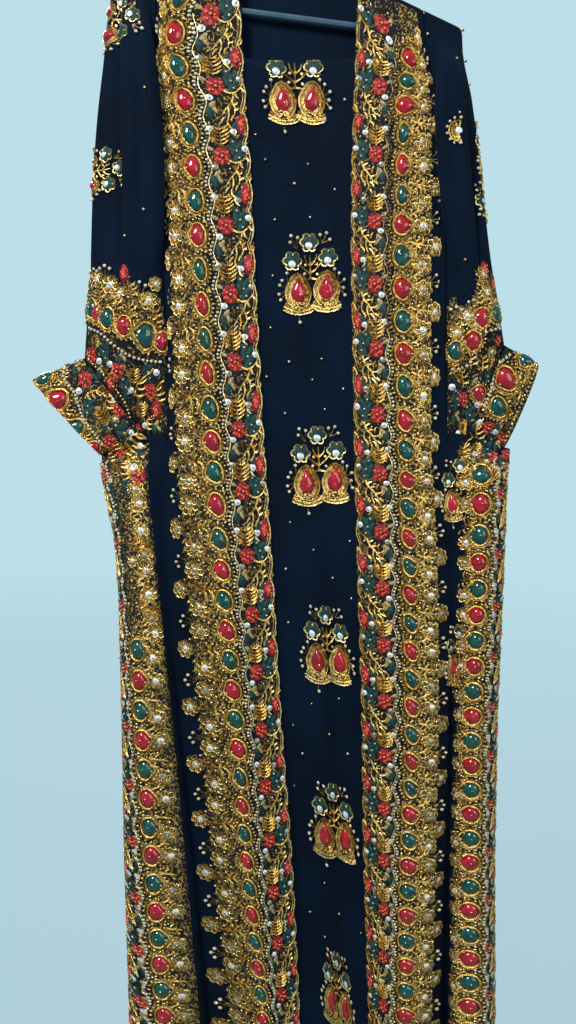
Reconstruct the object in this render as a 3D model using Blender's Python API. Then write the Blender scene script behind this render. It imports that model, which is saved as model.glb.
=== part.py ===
"""Open embroidered kaftan hanging on a tube clothes hanger.

Metres, +Z up, +X to the right as the garment is seen, front towards -Y. The origin is
the point where the hanger's hook bears on its rod. Every cloth piece is a wall through
rows and columns of section points. The rows run across the garment at set heights and
the columns run down it: side seam, folds, the lines of the borders and the opening.
"""
import math

import bmesh
import bpy
from mathutils import Vector

# Driving sizes
CLOTH = 0.0018
SEAM = 0.0003
LAP = 0.0006
GEM_PITCH = 0.040565
HEM_Z = -1.585
UNDERARM_Z = -0.652
BORDER_BASE = 0.0012
GEM_RISE = 0.0042
FLOWER_RISE = 0.0026
PEARL_RISE = 0.0022
CORD_RISE = 0.0014

# Hanger sizes
TUBE_R = 0.004
TILT = math.radians(7.2)
ARM_SLOPE = math.radians(17.4)
NECK_DROP = 0.062
BAR_DROP = 0.135
HALF_SPAN = 0.196
HOOK_R = 0.021
HOOK_WIRE_R = 0.0022
TUBE_SIDES = 8

# Shoulder seam: the cloth runs round the arm tube on this radius
SEAM_R = 0.00666
SHOULDER_ROWS = ((0.0, 0.0), (0.293, 0.707), (1.0, 1.0), (3.75, 1.35))
NECK_HALF = 0.074
NECK_SHIFT = 0.004
FIRST_LEVEL_DROP = 0.068
# Heights at which the tables are read for the shoulder rows and the last of them
SHOULDER_READ = (-0.060, -0.113)

# Half depth of the hanging body from shoulder to hem, (height, front, back), in metres
DEPTH = (
    (-0.10, 0.0095, 0.0105),
    (-0.30, 0.0125, 0.0150),
    (-0.46, 0.0170, 0.0220),
    (-0.652, 0.0260, 0.0320),
    (-0.90, 0.0400, 0.0430),
    (-1.20, 0.0460, 0.0500),
    (-1.585, 0.0500, 0.0560),
)

# Radius on which the side seams roll over, at the underarm and at the hem
SIDE_ROLL = (0.030, 0.052)

# Distance from the garment's centre to each line of a front, in millimetres, by height.
# The first four columns start below the underarm: side seam, pearl line, gem row and
# inner edge of the side border. gap is the armhole, and the deep fold below it.
FRONT_NAMES = ("z", "side", "s_pearl", "s_gem", "s_edge", "gap", "f_edge", "f_mid",
               "f_gem", "gem", "pearl", "strip", "open")
FRONT_LEFT = (
    (-0.060, 0, 0, 0, 0, 174, 170, 160, 147, 132, 116, 96, 78),
    (-0.165, 0, 0, 0, 0, 175, 172, 168, 164, 156, 130, 100, 71),
    (-0.246, 0, 0, 0, 0, 180, 174, 164, 153, 141, 118, 91, 66),
    (-0.300, 0, 0, 0, 0, 180, 172, 159, 147, 132, 113, 87, 61),
    (-0.409, 0, 0, 0, 0, 169, 162, 152, 141, 126, 106, 82, 57),
    (-0.652, 252, 243, 226, 190, 165, 156, 141, 126, 109, 90, 68, 45),
    (-0.693, 251, 241, 225, 190, 167, 155, 139, 123, 106, 87, 65, 42),
    (-0.800, 232, 222, 206, 181, 164, 147, 131, 115, 99, 80, 58, 35),
    (-1.000, 230, 215, 199, 161, 153, 131, 114, 97, 81, 62, 43, 24),
    (-1.200, 230, 205, 185, 145, 137, 114, 98, 82, 66, 48, 29, 9),
    (-1.400, 227, 195, 172, 130, 122, 93, 77, 61, 45, 30, 15, 0),
    (-1.585, 226, 190, 164, 116, 106, 78, 62, 47, 32, 19, 8, -3),
)
FRONT_RIGHT = (
    (-0.060, 0, 0, 0, 0, 150, 146, 139, 131, 122, 106, 88, 70),
    (-0.165, 0, 0, 0, 0, 151, 148, 146, 143, 137, 117, 92, 68),
    (-0.246, 0, 0, 0, 0, 172, 166, 155, 143, 128, 109, 87, 65),
    (-0.300, 0, 0, 0, 0, 179, 170, 156, 141, 125, 106, 85, 63),
    (-0.409, 0, 0, 0, 0, 181, 170, 156, 141, 125, 106, 84, 63),
    (-0.652, 267, 256, 238, 208, 185, 168, 159, 147, 131, 112, 90, 68),
    (-0.693, 264, 253, 236, 210, 190, 170, 161, 149, 133, 114, 92, 69),
    (-0.800, 262, 250, 232, 211, 196, 179, 167, 153, 136, 117, 95, 72),
    (-1.000, 257, 244, 226, 204, 194, 182, 170, 157, 141, 122, 100, 79),
    (-1.200, 257, 244, 227, 202, 193, 179, 168, 154, 138, 119, 101, 83),
    (-1.400, 261, 249, 231, 201, 193, 177, 165, 151, 136, 117, 104, 91),
    (-1.585, 263, 252, 233, 201, 192, 175, 163, 149, 133, 116, 106, 96),
)

# How far each line of a front stands forward (+) or falls back (-) from the body's
# depth, in millimetres, at the shoulder, the underarm, mid length and the hem
FOLD_HEIGHTS = (-0.165, -0.652, -1.10, -1.585)
FOLD_LEFT = {
    "side": (0, 0, 0, 0),
    "s_pearl": (0, 0, 0, 0),
    "s_gem": (0, 2, 3, 2),
    "s_edge": (0, -3, -3, -6),
    "gap": (0, -13, -20, -26),
    "f_edge": (0, -4, -9, -12),
    "f_mid": (0, 2, 3, 3),
    "f_gem": (1, 4, 7, 9),
    "gem": (2, 5, 8, 12),
    "pearl": (2, 3, 5, 8),
    "strip": (0, -1, -2, -4),
    "open": (-2, -5, -10, -16),
}
FOLD_RIGHT = {
    "side": (0, 0, 0, 0),
    "s_pearl": (0, 0, 0, 0),
    "s_gem": (0, 2, 2, 3),
    "s_edge": (0, -6, -8, -9),
    "gap": (0, -13, -22, -24),
    "f_edge": (0, -4, -6, -7),
    "f_mid": (0, 3, 5, 5),
    "f_gem": (1, 4, 6, 8),
    "gem": (2, 5, 8, 10),
    "pearl": (2, 3, 4, 6),
    "strip": (0, -1, -2, -2),
    "open": (-2, -9, -15, -14),
}

# Centre panel between the openings: share of the way across, and how far it lies back
# from the line between the two opening edges, in millimetres, at the same heights
CENTER_FOLDS = (
    (0.14, 3, 4, 5, 4),
    (0.32, 4, 2, 1, -4),
    (0.52, 5, 4, 2, 4),
    (0.70, 4, 6, 9, 12),
    (0.87, 3, 4, 5, 6),
)
NECKLINE_Z = (-0.180, -0.184, -0.186, -0.187, -0.187, -0.186, -0.185, -0.183, -0.181)

# Back: share of the half width between the centre and the armhole column, and how far
# each line stands back (+) or falls in (-), in millimetres, at the same heights
BACK_FOLDS = (
    ("b1", 0.68, 0, 2, 4, 8),
    ("b2", 0.42, 0, -2, -5, -8),
    ("b3", 0.34, 0, 1, 3, 7),
    ("b4", 0.00, 0, -1, -3, -6),
    ("b5", -0.34, 0, 2, 4, 8),
    ("b6", -0.42, 0, -1, -4, -9),
    ("b7", -0.68, 0, 2, 4, 7),
)
BACK_NECK_DIP = 0.024
BACK_NECK_DEPTH = 0.0110
# Half width of the back at its armholes, and how far in from the side seam its outer
# columns lie: seam, pearl line and gem row
BACK_HALF = {-1: 0.176, 1: 0.182}
BACK_HALF_TAPER = 0.020
BACK_SIDE_INSETS = (0.0, 0.014, 0.034)
BACK_SIDE_FALL = 0.006

# Sleeves: distance from the centre and stand-off forward of the seam plane of each line
# of the front side, in millimetres, by height. seam is the armhole, in_crease and
# out_crease are the edges of the long soft pleat, fold is the sleeve's outer edge.
SLEEVE_NAMES = ("turn", "in_crease", "pleat_in", "pleat_out", "out_crease", "tuck",
                "wing", "fold")
SLEEVE_LEFT = (
    (-0.165, (180, 178, 187, 203, 217, 212, 228, 239), (13, 22, 31, 31, 24, 14, 11, 0)),
    (-0.246, (186, 168, 183, 201, 217, 210, 232, 250), (14, 25, 33, 33, 25, 13, 12, 0)),
    (-0.327, (184, 165, 181, 200, 217, 211, 237, 257), (14, 25, 33, 33, 25, 14, 13, 0)),
    (-0.409, (174, 168, 180, 199, 217, 216, 241, 261), (15, 23, 31, 31, 26, 18, 15, 0)),
    (-0.440, (171, 174, 184, 200, 217, 222, 243, 262), (15, 20, 27, 29, 26, 23, 17, 0)),
)
SLEEVE_RIGHT = (
    (-0.165, (157, 158, 163, 172, 184, 192, 197, 201), (13, 21, 31, 33, 28, 19, 10, 0)),
    (-0.200, (166, 166, 170, 177, 190, 196, 201, 206), (14, 22, 31, 33, 28, 19, 11, 0)),
    (-0.246, (179, 162, 166, 182, 197, 201, 208, 214), (17, 27, 34, 34, 28, 19, 13, 0)),
    (-0.327, (187, 168, 181, 196, 210, 207, 216, 225), (16, 26, 33, 33, 26, 17, 13, 0)),
    (-0.409, (187, 181, 191, 204, 217, 214, 227, 236), (16, 23, 31, 31, 26, 19, 15, 0)),
    (-0.440, (185, 188, 197, 207, 219, 222, 231, 241), (15, 20, 28, 29, 27, 23, 17, 0)),
)
# Half the slit left inside the sleeve's lower corner
UNDERARM_HALF = 0.0024
# Drop of the seam under the sleeve, and its slope out to the garment's corner
UNDERARM_DROP = 0.002
UNDERARM_SLOPE = 0.29
# Depth of the side border's inner edge at the underarm seam
UNDERARM_EDGE = 0.006
# How much of the pleat is there on the last row below the shoulder seam
PLEAT_START = 0.12
# Outer end of the sleeve on the hanger's arm, and how far each row below it stands out
SLEEVE_TOP_END = {-1: 0.2275, 1: 0.1955}
SLEEVE_TOP_FLARE = (0.0, 0.0015, 0.003, 0.004)
# Cuff seam: outer top corner and inner bottom corner (distance out, height)
CUFF_SEAM_LEFT = ((0.271, -0.548), (0.192, -0.6505))
CUFF_SEAM_RIGHT = ((0.257, -0.532), (0.206, -0.6505))
CUFF_SEAM_SHARES = (0.0, 0.0, 0.0, 0.24, 0.47, 0.66, 0.84, 1.0)
CUFF_SEAM_DEPTH = (9, 5, 0, 12, 15, 15, 11, 0)
# Open end of the cuff: outer tip and lower corner (distance out, depth back, height)
CUFF_END_LEFT = ((0.337, 0.000, -0.576), (0.253, 0.000, -0.668))
CUFF_END_RIGHT = ((0.299, -0.006, -0.557), (0.262, 0.022, -0.661))
# Rows of the sleeve border: share of the way from its top line to the cuff seam
SLEEVE_BAND_TOP = -0.440
SLEEVE_BAND_ROWS = (0.0, 0.16, 0.31, 0.42, 0.53, 0.76, 1.0)
SLEEVE_BAND_RISE = (0.2, 1.0, 0.3, 1.0, 0.5, 0.9, 0.6)

MOTIF_HEIGHTS = (-0.232, -0.4485, -0.690, -0.918, -1.147, -1.366)
MOTIF_HALF = (0.036, 0.048)

COLORS = {
    "cloth": (0.010, 0.016, 0.032, 1.0),
    "border": (0.36, 0.24, 0.06, 1.0),
    "hanger": (0.06, 0.10, 0.14, 1.0),
}


def material(name, rough, metal):
    """A plain Principled material of one of the part's colours."""
    mat = bpy.data.materials.new(name)
    mat.use_nodes = True
    shader = mat.node_tree.nodes["Principled BSDF"]
    shader.inputs["Base Color"].default_value = COLORS[name]
    shader.inputs["Roughness"].default_value = rough
    shader.inputs["Metallic"].default_value = metal
    return mat


def between(knots, values, at):
    """Straight interpolation of values over falling knots."""
    if at >= knots[0]:
        return values[0]
    for k in range(len(knots) - 1):
        if at >= knots[k + 1]:
            share = (knots[k] - at) / (knots[k] - knots[k + 1])
            return values[k] + (values[k + 1] - values[k]) * share
    return values[-1]


def table_value(table, column, at):
    """Straight interpolation down one column of a table whose first column is height."""
    return between([row[0] for row in table], [row[column] for row in table], at)


def hanger_point(across, up):
    """A point of the level hanger, turned by the tilt at which it hangs."""
    return Vector((across * math.cos(TILT) + up * math.sin(TILT), 0.0,
                   up * math.cos(TILT) - across * math.sin(TILT)))


NECK_POINT = hanger_point(0.0, -NECK_DROP)
SLOPE = {-1: ARM_SLOPE - TILT, 1: ARM_SLOPE + TILT}


def shoulder_z(x):
    """Height of the shoulder seam above the hanger's arm."""
    side = -1 if x < NECK_POINT.x else 1
    fall = abs(x - NECK_POINT.x) * math.tan(SLOPE[side])
    return NECK_POINT.z - fall + SEAM_R / math.cos(SLOPE[side])


def rows_below_shoulder():
    """Heights of the level rows: two gem pitches apart, with one extra at the underarm."""
    above = [UNDERARM_Z + GEM_PITCH * k for k in range(12, 0, -2)]
    below = [UNDERARM_Z - GEM_PITCH * k for k in range(1, 24, 2)]
    return above + [UNDERARM_Z] + below


LEVELS = rows_below_shoulder()
TOP_ROWS = len(SHOULDER_ROWS)
UNDERARM_ROW = TOP_ROWS + LEVELS.index(UNDERARM_Z)
ROW_COUNT = TOP_ROWS + len(LEVELS)


class Net:
    """Rows and columns of section points with the outward direction at each."""

    def __init__(self, points, outward, cells=None, mirror_from=1000):
        self.points = points
        self.mirror_from = mirror_from
        self.height = len(points)
        self.width = len(points[0])
        self.cells = cells or {(r, c) for r in range(self.height - 1)
                               for c in range(self.width - 1)}
        self.normals = [[self.normal(r, c, outward) for c in range(self.width)]
                        for r in range(self.height)]

    def normal(self, r, c, outward):
        """Mean direction of the cells that meet at one point, on the outer side."""
        total = Vector()
        for a in (r - 1, r):
            for b in (c - 1, c):
                if (a, b) in self.cells:
                    rows = self.points
                    falling = rows[a + 1][b] - rows[a][b + 1]
                    rising = rows[a + 1][b + 1] - rows[a][b]
                    total += falling.cross(rising).normalized()
        if total.length < 1e-6:
            total = Vector((0.0, -1.0, 0.0))
        return total.normalized() * outward

    def flatten(self, r, c, axis):
        """Turn one direction square to an axis, so that an edge there ends in a plane."""
        direction = self.normals[r][c]
        self.normals[r][c] = (direction - axis * direction.dot(axis)).normalized()

    def at(self, u, v):
        """Point and direction on the net's facets at row u and column v."""
        r, c = min(int(u), self.height - 2), min(int(v), self.width - 2)
        r, c = max(r, 0), max(c, 0)
        fu, fv = u - r, v - c
        near, far = (c, c + 1)
        if c >= self.mirror_from:
            near, far = (c + 1, c)
            fv = 1 - fv
        grid = []
        for values in (self.points, self.normals):
            low, high = values[r][near], values[r + 1][far]
            if fu >= fv:
                corner = values[r + 1][near]
                grid.append(low * (1 - fu) + corner * (fu - fv) + high * fv)
            else:
                corner = values[r][far]
                grid.append(low * (1 - fv) + corner * (fv - fu) + high * fu)
        return grid[0], grid[1].normalized()

    def off(self, u, v, distance):
        """A point moved out from the net's facets."""
        point, direction = self.at(u, v)
        return point + direction * distance


def finish(name, mesh, mat):
    """Turn a bmesh into a named object with its faces pointing out."""
    bmesh.ops.recalc_face_normals(mesh, faces=mesh.faces[:])
    data = bpy.data.meshes.new(name)
    mesh.to_mesh(data)
    mesh.free()
    data.materials.append(mat)
    data.shade_smooth()
    data.set_sharp_from_angle(angle=math.radians(50))
    thing = bpy.data.objects.new(name, data)
    bpy.context.scene.collection.objects.link(thing)
    return thing


def triangle(mesh, a, b, c):
    """Add one face unless two of its corners are the same."""
    if a is not b and b is not c and a is not c:
        mesh.faces.new((a, b, c))


def cloth_wall(name, net, cells, mat, outer=0.0, inner=-CLOTH):
    """A closed wall over a set of the net's cells."""
    mesh = bmesh.new()
    skins = []
    corners = sorted({(r + a, c + b) for r, c in cells for a in (0, 1) for b in (0, 1)})
    for distance in (outer, inner):
        skins.append({(r, c): mesh.verts.new(net.points[r][c] + net.normals[r][c] * distance)
                      for r, c in corners})
    edges = {}
    for r, c in sorted(cells):
        loop = ((r, c), (r + 1, c), (r + 1, c + 1), (r, c + 1))
        if c >= net.mirror_from:
            loop = ((r, c + 1), (r + 1, c + 1), (r + 1, c), (r, c))
        for skin in skins:
            triangle(mesh, skin[loop[0]], skin[loop[1]], skin[loop[2]])
            triangle(mesh, skin[loop[0]], skin[loop[2]], skin[loop[3]])
        for k in range(4):
            edge = frozenset((loop[k], loop[(k + 1) % 4]))
            edges[edge] = edges.get(edge, 0) + 1
    for edge, count in edges.items():
        if count == 1:
            a, b = sorted(edge)
            triangle(mesh, skins[0][a], skins[0][b], skins[1][b])
            triangle(mesh, skins[0][a], skins[1][b], skins[1][a])
    return finish(name, mesh, mat)


def stitch(mesh, fine, coarse):
    """Close the strip between a fine and a coarse border line of (share, vertex)."""
    i, j = 0, 0
    while i < len(fine) - 1 or j < len(coarse) - 1:
        step_fine = j == len(coarse) - 1
        if i < len(fine) - 1 and j < len(coarse) - 1:
            middle = (fine[i][0] + fine[i + 1][0]) / 2
            step_fine = middle <= (coarse[j][0] + coarse[j + 1][0]) / 2
        if step_fine:
            triangle(mesh, fine[i][1], fine[i + 1][1], coarse[j][1])
            i += 1
        else:
            triangle(mesh, fine[i][1], coarse[j][1], coarse[j + 1][1])
            j += 1


def raised_wall(name, net, rows, columns, fine_rows, fine_columns, rise, mat, base=SEAM):
    """A closed wall that lies on the net: plain inside, raised in its outer points.

    rows and columns are the places of the plain inner points, fine_rows and
    fine_columns those of the outer ones. rise gives the height of an outer point.
    """
    mesh = bmesh.new()
    skins = []
    for us, vs, height in ((fine_rows, fine_columns, rise),
                           (rows, columns, lambda u, v: 0.0)):
        skins.append([[mesh.verts.new(net.off(u, v, base + height(u, v)))
                       for v in vs] for u in us])
    for skin in skins:
        for r in range(len(skin) - 1):
            for c in range(len(skin[0]) - 1):
                triangle(mesh, skin[r][c], skin[r + 1][c], skin[r + 1][c + 1])
                triangle(mesh, skin[r][c], skin[r + 1][c + 1], skin[r][c + 1])
    outer, inner = skins
    for end in (0, -1):
        stitch(mesh, list(zip(fine_columns, outer[end])), list(zip(columns, inner[end])))
        stitch(mesh, [(u, row[end]) for u, row in zip(fine_rows, outer)],
               [(u, row[end]) for u, row in zip(rows, inner)])
    return finish(name, mesh, mat)


def shoulder_point(x, row, side_y):
    """A point of one of the rows that run round the hanger's arm."""
    drop, out = SHOULDER_ROWS[row]
    side = -1 if x < NECK_POINT.x else 1
    fall = drop * SEAM_R / math.cos(SLOPE[side])
    return Vector((x, side_y * out * SEAM_R, shoulder_z(x) - fall))


def level_height(level, x):
    """Height of a level row at x: the first one dips under the sloping shoulder."""
    return min(level, shoulder_z(x) - FIRST_LEVEL_DROP)


def body_depth(z, back):
    """Half depth of the hanging body at one height."""
    return table_value(DEPTH, 2 if back else 1, z)


def side_roll(inset, z):
    """Share of the depth reached at a distance in from the side seam."""
    radius = between((UNDERARM_Z, HEM_Z), SIDE_ROLL, z)
    rest = 1 - min(max(inset, 0.0) / radius, 1.0)
    return math.sqrt(1 - rest * rest)


# How far the armhole line falls back from the body's depth, and at the underarm
ARM_FALL = 0.002
ARM_FALL_LOW = 0.013
ARM_EDGE_KNOTS = (LEVELS[0], LEVELS[1], LEVELS[2], LEVELS[3], UNDERARM_Z)


def arm_edge(side, z, back):
    """The armhole line: straight between its knots, so both its pieces share it."""
    table = FRONT_LEFT if side < 0 else FRONT_RIGHT
    column = FRONT_NAMES.index("gap")
    knots_x, knots_y = [], []
    for knot in ARM_EDGE_KNOTS:
        knots_x.append(BACK_HALF[side] if back else table_value(table, column, knot) / 1000)
        fall = ARM_FALL_LOW if knot == UNDERARM_Z else ARM_FALL
        knots_y.append(body_depth(knot, back) - fall)
    out = between(ARM_EDGE_KNOTS, knots_x, z)
    depth = between(ARM_EDGE_KNOTS, knots_y, z)
    return Vector((side * out, depth if back else -depth, z))


def corner_z(side, out):
    """Height of the seam that closes the body under the sleeve, out to its corner."""
    start = CUFF_SEAM_LEFT[1][0] if side < 0 else CUFF_SEAM_RIGHT[1][0]
    return UNDERARM_Z - UNDERARM_DROP - UNDERARM_SLOPE * max(out - start, 0.0)


def front_net(side):
    """Section points of one front, side seam first and opening last."""
    table = FRONT_LEFT if side < 0 else FRONT_RIGHT
    folds = FOLD_LEFT if side < 0 else FOLD_RIGHT
    names = FRONT_NAMES[1:]
    points = []
    for row in range(ROW_COUNT):
        line = []
        for k, name in enumerate(names):
            if row < TOP_ROWS:
                read_at = SHOULDER_READ[1 if row == TOP_ROWS - 1 else 0]
                x = side * table_value(table, k + 1, read_at) / 1000
                line.append(shoulder_point(x, row, -1))
                continue
            z = LEVELS[row - TOP_ROWS]
            z = level_height(z, side * table_value(table, k + 1, z) / 1000)
            out = table_value(table, k + 1, z) / 1000
            if name == "gap" and z >= UNDERARM_Z:
                line.append(arm_edge(side, z, False))
                continue
            if row == UNDERARM_ROW and k < names.index("gap"):
                depth = UNDERARM_EDGE if name == "s_edge" else 0.0
                line.append(Vector((side * out, -depth, corner_z(side, out))))
                continue
            depth = body_depth(z, False)
            if z < UNDERARM_Z:
                edge = table_value(table, 1, z) / 1000
                depth *= side_roll(edge - out, z)
            depth += between(FOLD_HEIGHTS, folds[name], z) / 1000
            line.append(Vector((side * out, -max(depth, 0.0), z)))
        points.append(line)
    net = Net(points, -side, panel_cells(len(names), names.index("gap"), len(names)))
    for row in range(ROW_COUNT):
        for k in range(len(names)):
            direction = net.normals[row][k]
            if row == 0:
                net.normals[row][k] = Vector((0.0, 0.0, 1.0))
            elif row >= UNDERARM_ROW and k == 0:
                net.normals[row][k] = Vector((direction.x, 0.0, direction.z)).normalized()
            elif row == UNDERARM_ROW and k <= names.index("s_gem"):
                net.normals[row][k] = Vector((0.0, 0.0, 1.0))
            elif row == UNDERARM_ROW and names[k] == "s_edge":
                net.normals[row][k] = Vector((0.0, -0.5, 0.87))
            elif 0 < row <= UNDERARM_ROW and names[k] == "gap":
                net.normals[row][k] = Vector((0.0, -1.0, direction.z)).normalized()
    for row in range(ROW_COUNT):
        for k in range(len(names)):
            if abs(points[row][k].y) < SEAM / 2:
                points[row][k].y = -SEAM / 2
    return net


def panel_cells(columns, first_side_column, last_side_column):
    """All cells of a panel: narrow above the underarm, full width below."""
    cells = set()
    for row in range(ROW_COUNT - 1):
        for column in range(columns - 1):
            above = row < UNDERARM_ROW
            outside = column < first_side_column or column >= last_side_column
            if not (above and outside):
                cells.add((row, column))
    return cells


def back_net():
    """Section points of the back, from the left side seam to the right one."""
    points = []
    for row in range(ROW_COUNT):
        level = None if row < TOP_ROWS else LEVELS[row - TOP_ROWS]
        line = [back_side_point(-1, inset, row, level) for inset in BACK_SIDE_INSETS]
        line.append(back_arm_point(-1, row, level))
        for name, share, *fold in BACK_FOLDS:
            x = -share * BACK_HALF[-1 if share > 0 else 1]
            if level is not None:
                z = level_height(level, x)
                fold_y = between(FOLD_HEIGHTS, fold, z) / 1000
                line.append(Vector((x, body_depth(z, True) + fold_y, z)))
            elif name in ("b2", "b6"):
                line.append(shoulder_point(math.copysign(NECK_HALF, x) - NECK_SHIFT, row, 1))
            elif name in ("b3", "b4", "b5"):
                line.append(back_neck_point(x, row))
            else:
                line.append(shoulder_point(x, row, 1))
        line.append(back_arm_point(1, row, level))
        line += [back_side_point(1, inset, row, level) for inset in BACK_SIDE_INSETS[::-1]]
        points.append(line)
    last = len(points[0]) - 1
    net = Net(points, -1, panel_cells(last + 1, 3, last - 3))
    for row in range(ROW_COUNT):
        for k in range(last + 1):
            from_side = min(k, last - k)
            direction = net.normals[row][k]
            neck = 5 < k < last - 5
            if row == 0 and not neck:
                net.normals[row][k] = Vector((0.0, 0.0, 1.0))
            elif row >= UNDERARM_ROW and from_side == 0:
                net.normals[row][k] = Vector((direction.x, 0.0, direction.z)).normalized()
            elif row == UNDERARM_ROW and from_side <= 2:
                net.normals[row][k] = Vector((0.0, 0.0, 1.0))
            elif 0 < row <= UNDERARM_ROW and from_side == 3:
                net.normals[row][k] = Vector((0.0, 1.0, direction.z)).normalized()
            if abs(points[row][k].y) < SEAM / 2:
                points[row][k].y = SEAM / 2
    return net


def back_neck_point(x, row):
    """A point of the back neck edge or of a row below it, clear of the hanger."""
    drop = SHOULDER_ROWS[row][0]
    across = min(max((x + NECK_HALF) / (2 * NECK_HALF), 0.0), 1.0)
    ends = [shoulder_z(share * NECK_HALF) for share in (-1, 1)]
    dip = BACK_NECK_DIP * (4 * across * (1 - across)) ** 3
    height = ends[0] * (1 - across) + ends[1] * across - dip
    return Vector((x, BACK_NECK_DEPTH + 0.0004 * drop, height - drop * SEAM_R * 0.9))


def back_arm_point(side, row, level):
    """Back armhole line, which runs on down the inner edge of the side border."""
    if level is None:
        return shoulder_point(arm_edge(side, LEVELS[0], True).x, row, 1)
    if level >= UNDERARM_Z:
        return arm_edge(side, level_height(level, arm_edge(side, level, True).x), True)
    wide = BACK_HALF[side]
    out = between((UNDERARM_Z, HEM_Z), (wide, wide - BACK_HALF_TAPER), level)
    return Vector((side * out, body_depth(level, True) - BACK_SIDE_FALL, level))


def back_side_point(side, inset, row, level):
    """A line of the back beside the side seam, which it shares with the front."""
    table = FRONT_LEFT if side < 0 else FRONT_RIGHT
    z = UNDERARM_Z if level is None or level > UNDERARM_Z else level
    edge = table_value(table, 1, z) / 1000
    out = edge - inset
    if row == UNDERARM_ROW:
        return Vector((side * out, 0.0, corner_z(side, out)))
    if row < UNDERARM_ROW:
        return Vector((side * out, 0.0, UNDERARM_Z))
    return Vector((side * out, body_depth(z, True) * side_roll(edge - out, z), z))


def center_net(left, right):
    """Section points of the centre panel, which laps behind both fronts."""
    names = FRONT_NAMES[1:]
    strip, opening = names.index("strip"), names.index("open")
    behind = -(CLOTH + SEAM)
    first = TOP_ROWS
    points = []
    for row in range(first, ROW_COUNT):
        line = []
        ends = []
        for net, order in ((left, (strip, opening)), (right, (opening, strip))):
            for k in order:
                if row == first:
                    z = NECKLINE_Z[0] if k == strip else NECKLINE_Z[1]
                    share = (LEVELS[0] - z) / (LEVELS[0] - LEVELS[1])
                    point = net.off(first + share, k, behind)
                else:
                    point = net.off(row, k, behind)
                ends.append(point)
        line = ends[:2]
        z = LEVELS[row - first]
        for k, (share, *fold) in enumerate(CENTER_FOLDS):
            point = ends[1].lerp(ends[2], share)
            point.y += between(FOLD_HEIGHTS, fold, z) / 1000
            if row == first:
                point.z = NECKLINE_Z[k + 2]
            line.append(point)
        line += ends[2:]
        points.append(line)
    net = Net(points, 1, mirror_from=4)
    for r, row in enumerate(range(first, ROW_COUNT)):
        for source, place, k in ((left, 0, strip), (left, 1, opening),
                                 (right, -2, opening), (right, -1, strip)):
            net.normals[r][place] = source.normals[row][k].copy()
    return net


def sleeve_net(side):
    """Section points of one sleeve: armhole, pleat, outer fold and round to the back."""
    table = SLEEVE_LEFT if side < 0 else SLEEVE_RIGHT
    seam = CUFF_SEAM_LEFT if side < 0 else CUFF_SEAM_RIGHT
    knots = [row[0] for row in table]
    rows = []
    for row in range(TOP_ROWS):
        rows.append(sleeve_shoulder_row(side, table, row))
    for z in LEVELS[:4]:
        rows.append(sleeve_row(side, table, knots, z))
    top = sleeve_row(side, table, knots, SLEEVE_BAND_TOP)
    end = sleeve_end_row(side, seam)
    for share in SLEEVE_BAND_ROWS:
        line = []
        for k, (a, b) in enumerate(zip(top, end)):
            point = a.lerp(b, share)
            if k in (0, len(top) - 1):
                edge = arm_edge(side, point.z, k > 0)
                point = Vector((edge.x + side * SEAM, edge.y, point.z))
            else:
                point.y += math.copysign(0.006 * math.sin(math.pi * share), point.y) \
                    if abs(point.y) > 0.002 else 0.0
            line.append(point)
        rows.append(line)
    net = Net(rows, side)
    last = len(rows[0]) - 1
    axis = cuff_axis(seam, side)
    for k in range(3, last):
        net.flatten(len(rows) - 1, k, axis)
    down = Vector((axis.z * -side, 0.0, axis.x * side))
    down = down if down.z < 0 else -down
    for k, way in ((3, -1), (last - 1, 1)):
        rows[-1][k].y = way * UNDERARM_HALF
        net.normals[-1][k] = (down * 0.5 + Vector((0.0, way, 0.0))).normalized()
    for r in range(len(rows)):
        for k in (0, last):
            if r > 0:
                net.normals[r][k] = Vector((0.0, -1.0 if k == 0 else 1.0, 0.0))
        if r == 0:
            for k in range(last + 1):
                net.normals[r][k] = Vector((0.0, 0.0, 1.0))
    return net


def cuff_axis(seam, side):
    """Direction square to the cuff seam, out of the sleeve."""
    (top_out, top_z), (low_out, low_z) = seam
    return Vector((side * (top_z - low_z), 0.0, low_out - top_out)).normalized()


def sleeve_shoulder_row(side, table, row):
    """One row of the sleeve round the hanger's arm."""
    inner = abs(arm_edge(side, LEVELS[0], False).x) + SEAM
    inner_back = abs(arm_edge(side, LEVELS[0], True).x) + SEAM
    outer = SLEEVE_TOP_END[side] + SLEEVE_TOP_FLARE[row]
    line = []
    count = len(SLEEVE_NAMES)
    for k in range(count + 1):
        out = inner + (outer - inner) * k / count
        point = shoulder_point(side * out, row, -1)
        if k == count:
            point.y = 0.0
        line.append(point)
    for share in (0.75, 0.5, 0.25, 0.0):
        out = inner_back + (outer - inner_back) * share
        line.append(shoulder_point(side * out, row, 1))
    if row == TOP_ROWS - 1:
        below = sleeve_row(side, table, [entry[0] for entry in table], LEVELS[0])
        for k in range(1, count):
            height = line[k].z
            line[k] = line[k].lerp(below[k], PLEAT_START)
            line[k].z = height
    for k, point in enumerate(line):
        if k != count and abs(point.y) < SEAM / 2:
            point.y = -SEAM / 2 if k < count else SEAM / 2
    return line


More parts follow.
